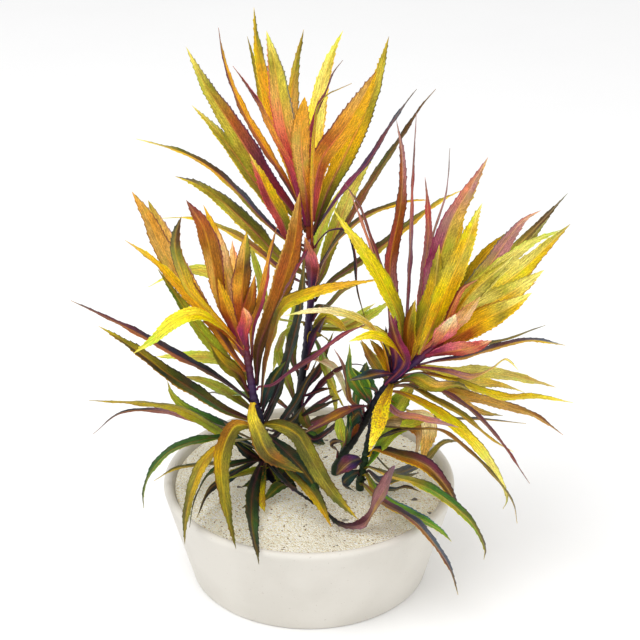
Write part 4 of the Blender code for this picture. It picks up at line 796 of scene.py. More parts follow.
def bladeWidth(t, leaf, fullness):
    # Half width: a power of the way to the widest place, then 1 minus a power of the way to the tip, which
    # is blunter the nearer the widest place is to it
    widest = leaf.get("widest", blade["widest"])
    rise = (np.minimum(t, widest) / widest) ** leaf.get("footTaper", blade["footTaper"])
    taper = blade["tipTaper"] + blade["bluntTaper"] * max(widest - blade["widest"], 0)
    fall = 1 - np.clip((t - widest) / (1 - widest), 0, 1) ** taper
    full = leaf["width"] * fullness * np.where(t < widest, rise, fall)
    petiole = min(blade["petioleWidth"], blade["petioleShare"] * leaf["width"])
    return np.maximum(petiole * (1 - t), full) / 2


def leafTones(t, s, across, leaf, stem):
    # Stops from foot to tip for each half, blended over the midrib, with the rims' tone at the margins and
    # the rib's own tone where a bell curve of the distance from the midrib is high
    def along(words):
        return blended(words, t[:, 0])[:, None, :]
    left = along(leaf["left"])
    right = along(leaf.get("right", leaf["left"]))
    tone = left + (right - left) * smooth(-leafTint["blend"], leafTint["blend"], s)[..., None]
    for word, near in zip(leaf["rims"].split(), (-s, s)):
        mask = smooth(*leafTint["rim"], near) * leafTint["rimShare"] * smooth(*leafTint["rimStart"], t)
        tone = tone + (linear(word) - tone) * mask[..., None]
    mask = leafTint["ribShare"] * np.exp(-(across / leafTint["ribWidth"]) ** 2)
    mask = mask * (1 - leafTint["ribFade"] * t)
    tone = tone + (along(leaf.get("rib", stem["ribs"])) - tone) * mask[..., None]
    grey = tone.mean(axis=2, keepdims=True)
    return np.maximum(grey + (tone - grey) * leafTint["vivid"], leafTint["darkest"])


def saw(run, pitch, phase):
    # Teeth along a margin: each rises with a power of the way and drops at its end. A slow sine makes their
    # pitch drift, and the fraction of a large sine of a tooth's number makes no two as high.
    drift = teeth["drift"] * pitch * np.sin(run / pitch / teeth["driftLength"] + phase)
    count = (run + drift) / pitch + phase
    turn, size = teeth["scatter"]
    share = np.mod(np.sin(np.floor(count) * turn + phase) * size, 1)
    return np.mod(count, 1) ** teeth["sharpness"] * (teeth["low"] + (1 - teeth["low"]) * share)


def leafMidline(stem, leaf, turns, small, roll):
    # Places from inside the stem to the tip with, for each, the way along the leaf, the run to it in mm and
    # the blade's side and upper directions: those of the frame's leaf, made square to this midline, rolled
    control, outward = leafPoints(stem, leaf, turns[0], growth["out"], growth["up"])
    coarse = spread(control, (growth["smallSteps"] if small else growth["steps"]) + 1)
    coarseSides, rightHand = bladeSides(coarse, outward, leaf["show"])
    turn = turns[0] + turns[1] * growth["straight"]
    control, outward = leafPoints(stem, leaf, turn, growth["hug"], growth["climb"])
    inside = growth["gap"] + growth["sunk"]
    control = [control[0] - outward * inside, *control]
    length = np.linalg.norm(np.diff(spread(control, blade["measured"]), axis=0), axis=1).sum()
    spacing = blade["smallSpacing" if small else "spacing"]
    count = int(np.clip(length / spacing, blade["fewest"], blade["most"]))
    points = spread(control, count + 1)
    part = np.linspace(0, 1, count + 1)
    t = np.clip((part - inside / length) / (1 - inside / length), 0, 1)
    every = np.linspace(0, 1, len(coarse))
    sides = np.column_stack([np.interp(t, every, coarseSides[:, k]) for k in range(3)])
    along = tangents(points)
    sides = unit(sides - along * (sides * along).sum(1, keepdims=True))
    uppers = np.cross(sides, along)
    turn = (roll * smooth(blade["twistFrom"], 1, t))[:, None]
    sides, uppers = sides * np.cos(turn) + uppers * np.sin(turn), uppers * np.cos(turn) - sides * np.sin(turn)
    return points, t[:, None], (part * length)[:, None], sides, uppers, rightHand


def leafGrid(stem, leaf, turns, seed, small):
    # The blade as a closed ring carried along its midline. Along: width x sawtooth margin. Across: a V fold
    # with a raised rib beneath, a thin lens of thickness, and waves that grow towards the margin.
    chance = np.random.default_rng(seed)
    roll = chance.uniform(-1, 1) * blade["twist"]
    points, t, run, sides, uppers, rightHand = leafMidline(stem, leaf, turns, small, roll)
    steps = np.array(blade["smallColumns" if small else "columns"])
    top = np.concatenate([-steps[:0:-1], steps])
    s = np.concatenate([top, top[-2:0:-1]])[None, :]
    face = np.concatenate([np.ones(len(top)), -np.ones(len(top) - 2)])[None, :]
    face[0, [0, len(top) - 1]] = 0
    half = bladeWidth(t, leaf, stem["fullness"])

    pitch = teeth["pitch"] * chance.uniform(*teeth["pitches"])
    out = sum((saw(run, pitch, chance.uniform(*teeth["phases"])) - teeth["base"])
              * smooth(*teeth["margin"], hand * s) for hand in (-1, 1))
    fade = smooth(*teeth["foot"], t) * (1 - smooth(*teeth["tip"], t))
    fade = fade * min(leaf["width"] / teeth["fullWidth"], teeth["tallest"])
    across = s * (half + teeth["height"] * out * fade)

    size = np.clip(leaf["width"] / waves["fullWidth"], *waves["sizes"])
    size = size * smooth(*waves["foot"], t) * (1 - smooth(*waves["tip"], t))
    turn = 2 * math.pi * run / waves["length"]
    wave = sum(np.sin(turn / scale + chance.uniform(*waves["phases"]) + slant * s)
               for scale, slant in waves["parts"]) / 2
    rise = np.abs(s) * half * blade["fold"] * (blade["foldAtRib"] + (1 - blade["foldAtRib"]) * np.abs(s))
    rise = rise + waves["height"] * size * wave * s ** 2
    body = blade["thickness"] * (1 - blade["thinner"] * t)
    body = body + blade["petiole"] * np.exp(-t / blade["petioleEnd"])
    thick = body * (1 - blade["edge"] * s ** 2) / 2
    ridge = np.exp(-(s * half / blade["ribWidth"]) ** 2) * blade["ribHeight"] * (1 - blade["ribFade"] * t)
    ridge = ridge * (1 - np.exp(-t / blade["ribStart"]))
    above = thick - blade["ribGroove"] * ridge
    lift = rise + np.where(face > 0, above, np.where(face < 0, -thick - ridge, 0))
    grid = points[:, None, :] + sides[:, None, :] * across[..., None] + uppers[:, None, :] * lift[..., None]

    s = np.broadcast_to(s, across.shape) * rightHand
    tone = leafTones(np.broadcast_to(t, across.shape), s, across, leaf, stem)
    # Painted shade and light: the tones are darkened low on the stem and brightened high up
    dim, bright = stem["bright"]
    share = np.clip(stemPlace(stem, leaf["row"])[3] / stem["height"], 0, 1)
    tone = tone * chance.uniform(*leafTint["shades"]) * (dim + (bright - dim) * share)
    tone = np.concatenate([tone, np.full((*across.shape, 1), leaf.get("speckled", 0.0))], axis=2)
    spot = np.stack([across * rightHand, np.broadcast_to(run, across.shape), s], axis=2)
    return grid * mm, tone, spot


def gridFaces(rows, ring):
    # Quads between neighbouring rings, then triangles from each end ring to its pole
    index = np.arange(rows * ring).reshape(rows, ring)
    turned = np.roll(index, -1, axis=1)
    quads = np.stack([index[:-1], turned[:-1], turned[1:], index[1:]], axis=-1).reshape(-1, 4)
    first, last = rows * ring, rows * ring + 1
    caps = np.vstack([np.column_stack([turned[0], index[0], np.full(ring, first)]),
                      np.column_stack([index[-1], turned[-1], np.full(ring, last)])])
    return quads, caps


def withPoles(values):
    # A grid's values as rows, with the mean of its first and last ring added for the poles
    flat = values.reshape(-1, values.shape[-1])
    return np.vstack([flat, values[0].mean(axis=0), values[-1].mean(axis=0)])


def buildPiece(name, grids, finishes, sharp=50):
    # One mesh from closed grids: (points, tone, spot, finish index) each, turned to face outwards. The
    # fourth number of a tone says how speckled it is.
    points, toneRows, spotRows, loops, sizes, marks = [], [], [], [], [], []
    start = 0
    for grid, tone, spot, mark in grids:
        corners = withPoles(grid)
        quads, caps = gridFaces(*grid.shape[:2])
        a, b, c = corners[quads[:, 0]], corners[quads[:, 1]], corners[quads[:, 2]]
        if np.einsum("ij,ij->i", a - corners[0], np.cross(b - corners[0], c - corners[0])).sum() < 0:
            quads, caps = quads[:, ::-1], caps[:, ::-1]
        points.append(corners)
        toneRows.append(withPoles(tone))
        spotRows.append(withPoles(spot))
        loops += [(quads + start).ravel(), (caps + start).ravel()]
        sizes += [np.full(len(quads), 4), np.full(len(caps), 3)]
        marks.append(np.full(len(quads) + len(caps), mark))
        start += len(corners)
    points, loops, sizes = np.vstack(points), np.concatenate(loops), np.concatenate(sizes)
    mesh = bpy.data.meshes.new(name)
    mesh.vertices.add(len(points))
    mesh.vertices.foreach_set("co", points.astype(np.float32).ravel())
    mesh.loops.add(len(loops))
    mesh.loops.foreach_set("vertex_index", loops.astype(np.int32))
    mesh.polygons.add(len(sizes))
    mesh.polygons.foreach_set("loop_start", np.concatenate([[0], np.cumsum(sizes)[:-1]]).astype(np.int32))
    for finish in finishes:
        mesh.materials.append(finish)
    mesh.polygons.foreach_set("material_index", np.concatenate(marks).astype(np.int32))
    mesh.update(calc_edges=True)
    mesh.validate()
    tone = mesh.attributes.new("tone", "FLOAT_COLOR", "POINT")
    tone.data.foreach_set("color", np.vstack(toneRows).astype(np.float32).ravel())
    spot = mesh.attributes.new("spot", "FLOAT_VECTOR", "POINT")
    spot.data.foreach_set("vector", np.vstack(spotRows).astype(np.float32).ravel())
    mesh.shade_smooth()
    mesh.set_sharp_from_angle(angle=math.radians(sharp))
    piece = bpy.data.objects.new(name, mesh)
    bpy.context.scene.collection.objects.link(piece)
    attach(piece, "root")
    return piece


class Wire:
    # A number or colour on its way through a material. Sums and products of wires add Math nodes.
    def __init__(self, finish, socket):
        self.finish = finish
        self.socket = socket

    def maths(self, operation, *others):
        return self.finish.add("ShaderNodeMath", {"operation": operation}, dict(enumerate([self, *others])))

    def __add__(self, other):
        return self.maths("ADD", other)

    def __sub__(self, other):
        return self.maths("SUBTRACT", other)

    def __mul__(self, other):
        return self.maths("MULTIPLY", other)

    def __truediv__(self, other):
        return self.maths("DIVIDE", other)

    def __radd__(self, other):
        return self + other

    def __rsub__(self, other):
        return self.finish.add("ShaderNodeMath", {"operation": "SUBTRACT"}, {0: other, 1: self})


class Finish:
    # A material with one Principled shader, and one method that adds any other node
    def __init__(self, name, **constants):
        self.material = bpy.data.materials.new(name)
        self.material.use_nodes = True
        self.tree = self.material.node_tree
        self.shader = self.tree.nodes["Principled BSDF"]
        for socket, value in constants.items():
            self.shader.inputs[socket.replace("_", " ")].default_value = value

    def add(self, kind, settings=None, sockets=None, out=0):
        node = self.tree.nodes.new(kind)
        for key, value in (settings or {}).items():
            if key == "stops":
                ramp = node.color_ramp.elements
                while len(ramp) < len(value):
                    ramp.new(0.5)
                for element, (place, colour) in zip(ramp, value):
                    element.position = place
                    element.color = (*colour, 1)
            else:
                setattr(node, key, value)
        for key, value in (sockets or {}).items():
            self.join(value, node.inputs[key])
        return Wire(self, node.outputs[out])

    def join(self, value, socket):
        if isinstance(value, Wire):
            self.tree.links.new(value.socket, socket)
        else:
            socket.default_value = value

    def feed(self, **sockets):
        for key, value in sockets.items():
            self.join(value, self.shader.inputs[key.replace("_", " ")])
        return self.material

    def ramp(self, value, low, high, start=0.0, end=1.0):
        # A smooth step from start to end as the value goes from low to high
        return self.add("ShaderNodeMapRange", {"interpolation_type": "SMOOTHSTEP"},
                        {0: value, 1: low, 2: high, 3: start, 4: end})

    def mix(self, factor, one, two, blend="MIX"):
        settings = {"data_type": "RGBA", "blend_type": blend}
        return self.add("ShaderNodeMix", settings, {0: factor, 6: one, 7: two}, 2)

    def scaled(self, colour, factor):
        return self.add("ShaderNodeVectorMath", {"operation": "SCALE"}, {0: colour, 3: factor})

    def noise(self, scale, detail, vector=None, rough=0.5):
        sockets = {"Scale": scale, "Detail": detail, "Roughness": rough}
        sockets["Vector"] = vector or self.place()
        return self.add("ShaderNodeTexNoise", {}, sockets)

    def cells(self, scale, out):
        # A scattering of cells: 0 gives the distance to a cell's middle, and 1 its own random colour
        return self.add("ShaderNodeTexVoronoi", {}, {"Vector": self.place(), "Scale": scale}, out=out)

    def place(self):
        return self.add("ShaderNodeTexCoord", out=3)

    def carried(self, name, out):
        # What the mesh carries under this name: 0 gives its colour, 1 its vector and 3 its fourth number
        return self.add("ShaderNodeAttribute", {"attribute_name": name}, out=out)

    def part(self, vector, number):
        return self.add("ShaderNodeSeparateXYZ", {}, {0: vector}, out=number)

    def channel(self, colour, number):
        return self.add("ShaderNodeSeparateColor", {}, {0: colour}, out=number)

    def vector(self, x=0.0, y=0.0, z=0.0):
        return self.add("ShaderNodeCombineXYZ", {}, {0: x, 1: y, 2: z})

    def bump(self, height, distance, strength):
        return self.add("ShaderNodeBump", {}, {"Height": height, "Distance": distance, "Strength": strength})


# Noise is scaled by metres, but streaks and grain by mm across and along the leaf. Each pair named From is
# where a mask of the noise starts and where it is full. relief is the height of the rib, the veins, the
# streaks and the grain, and bump the distance and strength of the whole.
leafSkin = dict(
    streaks=(1.9, 0.12), streakDetail=4.0, streakRough=0.62, streakFrom=(0.3, 0.7), streakShade=(0.56, 1.38),
    grain=(2.6, 0.95), grainFrom=(0.34, 0.66), grainShade=(0.78, 1.22),
    veinSlant=1.3, veinPitch=2.3, veinWidth=0.2, veinStart=(0.2, 0.8),
    ribEdge=(0.12, 0.42), ribShare=0.35, ribHighlight=1.5,
    patches=130.0, brownFrom=(0.5, 0.68), brown=(0.2, 0.07, 0.015, 1),
    greenFrom=(0.48, 0.32), greenShare=0.6, green=(0.75, 1.0, 0.7, 1),
    blotches=420.0, blotchFrom=(0.52, 0.7), blotchShare=0.8, dimmed=0.5,
    speckGrain=(0.64, 0.72), speckBlotch=(0.45, 0.6), speck=(0.06, 0.028, 0.012, 1),
    spots=900.0, spotFrom=(0.52, 0.6), spot=(0.26, 0.1, 0.02, 1),
    reflects=0.24, duller=0.25, relief=(-0.6, -0.35, 0.8, 0.25), bump=(0.00022, 0.8),
)


def leafFinish(name, veins, mottle, specks, gloss, glow):
    # Tone x long streaks x side veins, a lighter rib that is a painted highlight, patches that turn towards
    # brown or green, and specks. The leaf also glows in its own colour: painted light that lifts its shade.
    look = leafSkin
    finish = Finish(name, Specular_IOR_Level=look["reflects"], Emission_Strength=glow)
    tone = finish.carried("tone", 0)
    speckled = finish.carried("tone", 3)
    spot = finish.carried("spot", 1)
    across, along = [finish.part(spot, k) for k in range(2)]
    away = across.maths("ABSOLUTE")

    wide, long = look["streaks"]
    line = finish.vector(across * wide, along * long)
    streaks = finish.noise(1.0, look["streakDetail"], line, look["streakRough"])
    lines = ((along - away * look["veinSlant"]) / look["veinPitch"]).maths("FRACT") - 0.5
    vein = finish.ramp(lines.maths("ABSOLUTE"), 0.0, look["veinWidth"], 1.0, 0.0)
    vein = vein * finish.ramp(away, *look["veinStart"])
    rib = finish.ramp(away, *look["ribEdge"], 1.0, 0.0)
    patches = finish.noise(look["patches"], 3.0)
    blotch = finish.noise(look["blotches"], 3.0)
    wide, long = look["grain"]
    grain = finish.noise(1.0, 2.0, finish.vector(across * wide, along * long, blotch))
    dots = finish.ramp(grain, *look["speckGrain"]) * finish.ramp(blotch, *look["speckBlotch"])

    shade = finish.ramp(streaks, *look["streakFrom"], *look["streakShade"])
    shade = shade * finish.ramp(grain, *look["grainFrom"], *look["grainShade"])
    colour = finish.scaled(finish.scaled(tone, shade), 1 - vein * veins)
    dark = finish.scaled(tone, look["dimmed"])
    brown = finish.mix(0.5, dark, look["brown"])
    colour = finish.mix(finish.ramp(patches, *look["brownFrom"], 0.0, mottle), colour, brown)
    green = finish.mix(1.0, tone, look["green"], "MULTIPLY")
    colour = finish.mix(finish.ramp(patches, *look["greenFrom"], 0.0, look["greenShare"]), colour, green)
    mask = finish.ramp(blotch, *look["blotchFrom"], 0.0, mottle * look["blotchShare"])
    colour = finish.mix(mask, colour, dark)
    # A band along the midrib, lighter than the tone: a painted highlight
    colour = finish.mix(rib * look["ribShare"], colour, finish.scaled(tone, look["ribHighlight"]))
    colour = finish.mix(dots * specks, colour, look["speck"])
    brownSpots = finish.ramp(finish.noise(look["spots"], 1.0), *look["spotFrom"]) * speckled
    colour = finish.mix(brownSpots, colour, look["spot"])
    ribHeight, veinHeight, streakHeight, grainHeight = look["relief"]
    height = rib * ribHeight + vein * veinHeight + streaks * streakHeight + grain * grainHeight
    # The colour is also emitted: a painted glow that stands in for light through the leaf
    return finish.feed(Base_Color=colour, Emission_Color=colour, Roughness=gloss + blotch * look["duller"],
                       Normal=finish.bump(height, *look["bump"]))


# The last number of each finish is how strongly its leaves glow in their own colour: painted light
leafFinishes = {
    "leaf_olive": leafFinish("olive leaf", veins=0.16, mottle=0.35, specks=0.5, gloss=0.36, glow=0.1),
    "leaf_gold": leafFinish("gold leaf", veins=0.14, mottle=0.3, specks=0.6, gloss=0.38, glow=0.12),
    "leaf_pink": leafFinish("pink leaf", veins=0.18, mottle=0.3, specks=0.4, gloss=0.38, glow=0.1),
    "leaf_green": leafFinish("green leaf", veins=0.2, mottle=0.4, specks=0.5, gloss=0.34, glow=0.06),
}
smallLeafFinish = leafFinish("small leaf", veins=0.14, mottle=0.3, specks=0.5, gloss=0.38, glow=0.1)

# Lengths in mm. lines stretches the noise of the ribs round and along the stem, shade is the least light and
# how much the lines and the mottling add, and gloss the least roughness and what the mottling adds.
stemLook = dict(sides=28, stations=150, buried=18.0, ringHeight=0.4, ringWidth=1.1, reflects=0.4,
                lines=(3.2, 0.12), mottle=500.0, shade=(0.5, 0.6, 0.5), gloss=(0.35, 0.2), relief=0.4,
                bump=(0.0003, 0.8))


def stemFinish():
    # Tone with fine lengthwise ribs, a little mottling and a satin skin
    look = stemLook
    finish = Finish("stem skin", Specular_IOR_Level=look["reflects"])
    spot = finish.carried("spot", 1)
    turn, run = [finish.part(spot, k) for k in range(2)]
    wide, long = look["lines"]
    lines = finish.noise(1.0, 2.0, finish.vector(turn * wide, run * long))
    mottle = finish.noise(look["mottle"], 3.0)
    least, lineShade, mottleShade = look["shade"]
    colour = finish.scaled(finish.carried("tone", 0), least + lines * lineShade + mottle * mottleShade)
    rough, rougher = look["gloss"]
    return finish.feed(Base_Color=colour, Roughness=rough + mottle * rougher,
                       Normal=finish.bump(lines + mottle * look["relief"], *look["bump"]))


def stemGrid(stem, rows):
    # A round tube along the stem's axis whose radius tapers, with a low swelling at each leaf's foot
    axis = stem["axis"]
    every = np.linspace(0, 1, len(axis))
    part = np.linspace(0, 1, stemLook["stations"])
    centres = np.column_stack([np.interp(part, every, axis[:, k]) for k in range(3)])
    centres = np.vstack([centres[0] - [0, 0, stemLook["buried"]], centres])
    run = np.concatenate([[-stemLook["buried"]], part * stem["height"]])
    swelling = np.zeros(len(run))
    for row in rows:
        height = stemPlace(stem, row)[3]
        swelling = np.maximum(swelling, np.exp(-((run - height) / stemLook["ringWidth"]) ** 2))
    radius = stem["foot"] + (stem["tip"] - stem["foot"]) * np.concatenate([[0], part])
    radius = radius + stemLook["ringHeight"] * swelling
    along, sides = carriedSides(centres, np.array([1.0, 0.0, 0.0]))
    turns = np.arange(stemLook["sides"]) * 2 * math.pi / stemLook["sides"]
    spokes = (sides[:, None, :] * np.cos(turns)[None, :, None]
              + np.cross(along, sides)[:, None, :] * np.sin(turns)[None, :, None])
    grid = centres[:, None, :] + spokes * radius[:, None, None]
    tone = blended(stem["tones"], np.clip(run / stem["height"], 0, 1))
    tone = np.concatenate([tone, np.zeros((len(tone), 1))], axis=1)
    tone = np.broadcast_to(tone[:, None, :], (*grid.shape[:2], 4))
    spot = np.zeros(grid.shape)
    spot[..., 0] = turns[None, :]
    spot[..., 1] = run[:, None]
    return grid * mm, tone, spot


skin = stemFinish()
for key, stem in stems.items():
    stem["axis"] = spread([sightPoint(*place) for place in stem["line"][::-1]], growth["places"])
    stem["height"] = np.linalg.norm(np.diff(stem["axis"], axis=0), axis=1).sum()
    own, small, under = groups[key]
    leaves = {**own, **small}
    turns = dict(zip(leaves, footTurns(stem, list(leaves.values()))))
    turns |= {name: (straightTurn(stem, leaf)[0], 0) for name, leaf in under.items()}
    leaves |= under
    grids = [(*stemGrid(stem, [leaf["row"] for leaf in leaves.values()]), 0)]
    for number, (name, leaf) in enumerate(leaves.items()):
        # Its random draws are seeded by its number and the count of letters in its stem's name
        seed = blade["seeds"] * len(key) + number
        grid = leafGrid(stem, leaf, turns[name], seed, name not in own)
        if name not in own:
            grids.append((*grid, 1))
            continue
        words = name.split("_")
        piece = buildPiece(words[0] + "Leaf" + words[2], [(*grid, 0)], [leafFinishes[leaf["slot"]]])
        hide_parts(name)
    piece = buildPiece(key + "Stem", grids, [skin, smallLeafFinish])
    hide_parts(stem["node"])
    print(key, "stem:", len(own), "leaves,", len(small), "small leaves and", len(under), "under them")


# Lengths in mm. eye is the radius of the rings that the poles close, and step the spacing of the rings.
pot = dict(height=56.0, rim=80.0, foot=66.0, wall=5.0, floor=6.0, bevel=1.5, sides=192, eye=0.5, step=2.5,
           lipSteps=17, bevelSteps=7, sharp=60)

potLook = dict(
    lines=900.0, clouds=28.0, cloudFrom=(0.35, 0.65), shade=(0.63, 0.6, 0.54, 1), glaze=(0.68, 0.65, 0.59, 1),
    specks=900.0, speckFrom=(0.72, 0.78), speckShare=0.35, speck=(0.3, 0.24, 0.18, 1),
    reflects=0.4, sheen=0.12, sheenRough=0.35, gloss=(0.42, 0.25), relief=(0.6, 0.5), bump=(0.0005, 0.5),
)


def innerRadius(height):
    return pot["foot"] + (pot["rim"] - pot["foot"]) * height / pot["height"] - pot["wall"]


def turnedGrid(profile, sides):
    # A closed profile of (radius, height) turned about the upright axis
    turns = np.arange(sides) * 2 * math.pi / sides
    radius, height = np.array(profile, float).T
    return np.stack([radius[:, None] * np.cos(turns), radius[:, None] * np.sin(turns),
                     np.broadcast_to(height[:, None], (len(height), sides))], axis=2)


def blank(grid):
    return np.zeros((*grid.shape[:2], 4)), np.zeros(grid.shape)


def fine(points, step):
    # Extra points along each straight stretch of a profile
    out = []
    for (r, z), (nextR, nextZ) in zip(points, points[1:]):
        count = max(1, int(math.hypot(nextR - r, nextZ - z) / step))
        out += [(r + (nextR - r) * k / count, z + (nextZ - z) * k / count) for k in range(count)]
    return [*out, points[-1]]


def potFinish():
    # Off-white matt ceramic: faint turning lines, soft mottling and a few pin-point specks
    look = potLook
    finish = Finish("pale ceramic", Specular_IOR_Level=look["reflects"], Coat_Weight=look["sheen"],
                    Coat_Roughness=look["sheenRough"])
    height = finish.part(finish.place(), 2)
    lines = finish.noise(1.0, 3.0, finish.vector(z=height * look["lines"]))
    cloud = finish.noise(look["clouds"], 4.0)
    specks = finish.ramp(finish.noise(look["specks"], 1.0), *look["speckFrom"])
    colour = finish.mix(finish.ramp(cloud, *look["cloudFrom"]), look["shade"], look["glaze"])
    colour = finish.mix(specks * look["speckShare"], colour, look["speck"])
    rough, rougher = look["gloss"]
    lineHeight, cloudHeight = look["relief"]
    return finish.feed(Base_Color=colour, Roughness=rough + cloud * rougher,
                       Normal=finish.bump(lines * lineHeight + cloud * cloudHeight, *look["bump"]))


def makePot():
    lip = pot["wall"] / 2
    middle = pot["rim"] - lip
    rounding = [(middle + lip * math.cos(turn), pot["height"] - lip + lip * math.sin(turn))
                for turn in np.linspace(math.pi, 0, pot["lipSteps"])]
    foot = [(pot["foot"] - pot["bevel"] + pot["bevel"] * math.sin(turn), pot["bevel"] * (1 - math.cos(turn)))
            for turn in np.linspace(math.pi / 2, 0, pot["bevelSteps"])]
    inner = (innerRadius(pot["floor"]), pot["floor"])
    profile = fine([(pot["eye"], pot["floor"]), inner, *rounding, *foot, (pot["eye"], 0)], pot["step"])
    grid = turnedGrid(profile, pot["sides"])
    piece = buildPiece("ceramicPot", [(grid * mm, *blank(grid), 0)], [potFinish()], pot["sharp"])
    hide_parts("pot")


# Lengths in mm. flat is how far from the wall the swells are gone and how far from it they are full, lip how
# far the edge goes straight down, and dents and dentArea are the dents' depth and the square of their reach.
sand = dict(level=52.0, crown=2.0, gap=0.3, lip=1.0, eye=0.4, rings=110, sides=220, step=6.0, sharp=60,
            swell=0.7, flat=(1, 12), dents=1.1, dentArea=60)

# broad, slanted and small are lengths along x and y, and bendLength one along y, in mm for one radian.
swells = dict(broad=(13, 15), bend=0.7, bendLength=17, slanted=(6.5, 9), slantedHeight=0.6, small=(4.1, 4.6),
              smallHeight=0.4, phases=(0.4, 1.1))

# Its glow, in the sand's own colour, is painted light that keeps the plant's shade on the sand faint
sandLook = dict(
    grains=1150.0, clouds=55.0, cloudFrom=(0.42, 0.68), cloudShare=0.35, patch=(0.8, 0.75, 0.6, 1),
    stops=[(0.0, (0.52, 0.4, 0.22)), (0.1, (0.78, 0.7, 0.5)), (0.5, (0.92, 0.87, 0.7)),
           (0.86, (0.96, 0.92, 0.8)), (1.0, (0.98, 0.96, 0.88))],
    darkFrom=(0.982, 0.986), dark=(0.16, 0.1, 0.05, 1), darkShare=0.85,
    bits=420.0, bitFrom=(0.994, 0.997), bit=(0.04, 0.03, 0.03, 1),
    reflects=0.25, glow=0.22, gloss=(0.8, 0.15), domes=900.0, bump=(0.00025, 0.6),
)


def sandFinish():
    # Pale grains of mixed tones: one random shade a grain, cloudy patches, and scattered dark grains, with a
    # painted glow in the sand's own colour that keeps the plant's shade on it faint
    look = sandLook
    finish = Finish("pale sand", Specular_IOR_Level=look["reflects"], Emission_Strength=look["glow"])
    away, grain = [finish.cells(look["grains"], k) for k in range(2)]
    shade, other = [finish.channel(grain, k) for k in range(2)]
    cloud = finish.noise(look["clouds"], 4.0)
    colour = finish.add("ShaderNodeValToRGB", {"stops": look["stops"]}, {0: shade})
    mask = finish.ramp(cloud, *look["cloudFrom"], 0.0, look["cloudShare"])
    colour = finish.mix(mask, colour, look["patch"])
    colour = finish.mix(finish.ramp(other, *look["darkFrom"]) * look["darkShare"], colour, look["dark"])
    few = finish.channel(finish.cells(look["bits"], 1), 0)
    colour = finish.mix(finish.ramp(few, *look["bitFrom"]) * look["darkShare"], colour, look["bit"])
    rough, rougher = look["gloss"]
    return finish.feed(Base_Color=colour, Emission_Color=colour, Roughness=rough + cloud * rougher,
                       Normal=finish.bump(1 - away * look["domes"], *look["bump"]))


def sandSwell(x, y):
    # Three sums of sines: broad ones that wander, slanted ones and small ones
    alongX, alongY = swells["broad"]
    first, second = swells["phases"]
    bend = swells["bend"] * np.sin(y / swells["bendLength"])
    broad = np.sin(x / alongX + bend) * np.cos(y / alongY + first)
    alongX, alongY = swells["slanted"]
    slanted = np.sin(x / alongX + y / alongY + second)
    alongX, alongY = swells["small"]
    small = np.cos(x / alongX - y / alongY)
    return broad + swells["slantedHeight"] * slanted + swells["smallHeight"] * small


def makeSand():
    # The crown falls with the square of the radius. The swells fade at the wall, and each stem has a dent
    # around its foot: a bell curve.
    edge = innerRadius(sand["level"]) - sand["gap"]
    floor = pot["floor"] + sand["gap"]
    radii = np.linspace(sand["eye"], edge, sand["rings"])
    tops = [(radius, sand["level"] + sand["crown"] * (1 - (radius / edge) ** 2)) for radius in radii]
    below = [(edge, sand["level"] - sand["lip"]), (innerRadius(floor) - sand["gap"], floor),
             (pot["eye"], floor)]
    grid = turnedGrid([*tops, *fine(below, sand["step"])], sand["sides"])
    x, y = grid[..., 0], grid[..., 1]
    gone, full = sand["flat"]
    near = 1 - smooth(edge - full, edge - gone, np.hypot(x, y))
    near = near * (grid[..., 2] > sand["level"] - sand["lip"] / 2)
    grid[..., 2] += sand["swell"] * sandSwell(x, y) * near
    for stem in stems.values():
        foot = stem["axis"][0]
        away = (x - foot[0]) ** 2 + (y - foot[1]) ** 2
        grid[..., 2] -= sand["dents"] * np.exp(-away / sand["dentArea"]) * near
    piece = buildPiece("paleSand", [(grid * mm, *blank(grid), 0)], [sandFinish()], sand["sharp"])
    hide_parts("sand")


makePot()
makeSand()
print("pot and sand")

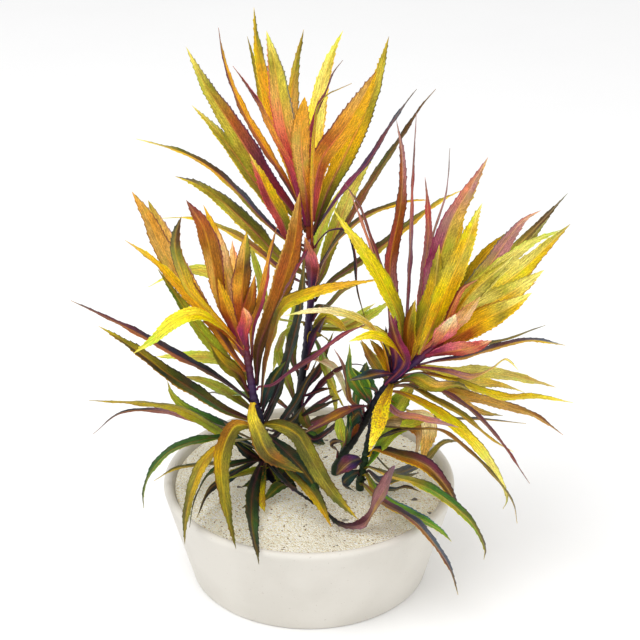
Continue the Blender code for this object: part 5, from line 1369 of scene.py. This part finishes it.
# Metres and watts. lit is the place that the lamps are aimed at.
room = dict(floorSize=6.0, floorCloud=6.0, floorDark=(0.93, 0.93, 0.93, 1), floorLight=(0.96, 0.96, 0.96, 1),
            sky=0.85, keyPower=14.0, keySize=1.1, keyPlace=(-0.55, -0.5, 1.5), fillPower=2.0, fillSize=1.0,
            fillPlace=(0.9, -0.8, 0.7), lit=(0, 0, 0.13))


def makeLamp(name):
    light = bpy.data.lights.new(name, "AREA")
    light.energy = room[name + "Power"]
    light.size = room[name + "Size"]
    lamp = bpy.data.objects.new(name, light)
    bpy.context.scene.collection.objects.link(lamp)
    lamp.location = room[name + "Place"]
    aim(lamp, np.array(room["lit"]))


def makeRoom():
    # A plain pale floor, an even white sky, one large soft key from above and a weak fill
    floor = bpy.data.meshes.new("floor")
    half = room["floorSize"] / 2
    corners = [(-half, -half, 0), (half, -half, 0), (half, half, 0), (-half, half, 0)]
    floor.from_pydata(corners, [], [(0, 1, 2, 3)])
    paint = Finish("pale floor", Roughness=0.9, Specular_IOR_Level=0.1)
    shade = paint.mix(paint.noise(room["floorCloud"], 3.0), room["floorDark"], room["floorLight"])
    floor.materials.append(paint.feed(Base_Color=shade))
    ground = bpy.data.objects.new("floor", floor)
    bpy.context.scene.collection.objects.link(ground)
    world = bpy.data.worlds.new("white sky")
    world.use_nodes = True
    background = world.node_tree.nodes["Background"]
    background.inputs["Color"].default_value = (1, 1, 1, 1)
    background.inputs["Strength"].default_value = room["sky"]
    bpy.context.scene.world = world
    makeLamp("key")
    makeLamp("fill")
    view = bpy.context.scene.view_settings
    view.view_transform = "Standard"
    view.look = "None"


def aim(thing, target):
    # Turns a camera or lamp so that it looks at the target, upright
    direction = target - np.array(thing.location)
    flat = math.hypot(direction[0], direction[1])
    thing.rotation_euler = (math.atan2(flat, -direction[2]), 0, math.atan2(-direction[0], direction[1]))


def makeCamera():
    ahead, upward, eye = viewAxes()
    view = bpy.data.cameras.new("camera")
    view.lens = camera["lens"]
    view.clip_start = camera["nearest"]
    thing = bpy.data.objects.new("camera", view)
    bpy.context.scene.collection.objects.link(thing)
    thing.location = eye * mm
    aim(thing, (np.array(sight["target"]) - upward * camera["lower"]) * mm)
    bpy.context.scene.camera = thing


makeRoom()
makeCamera()
print("floor, lights and camera")
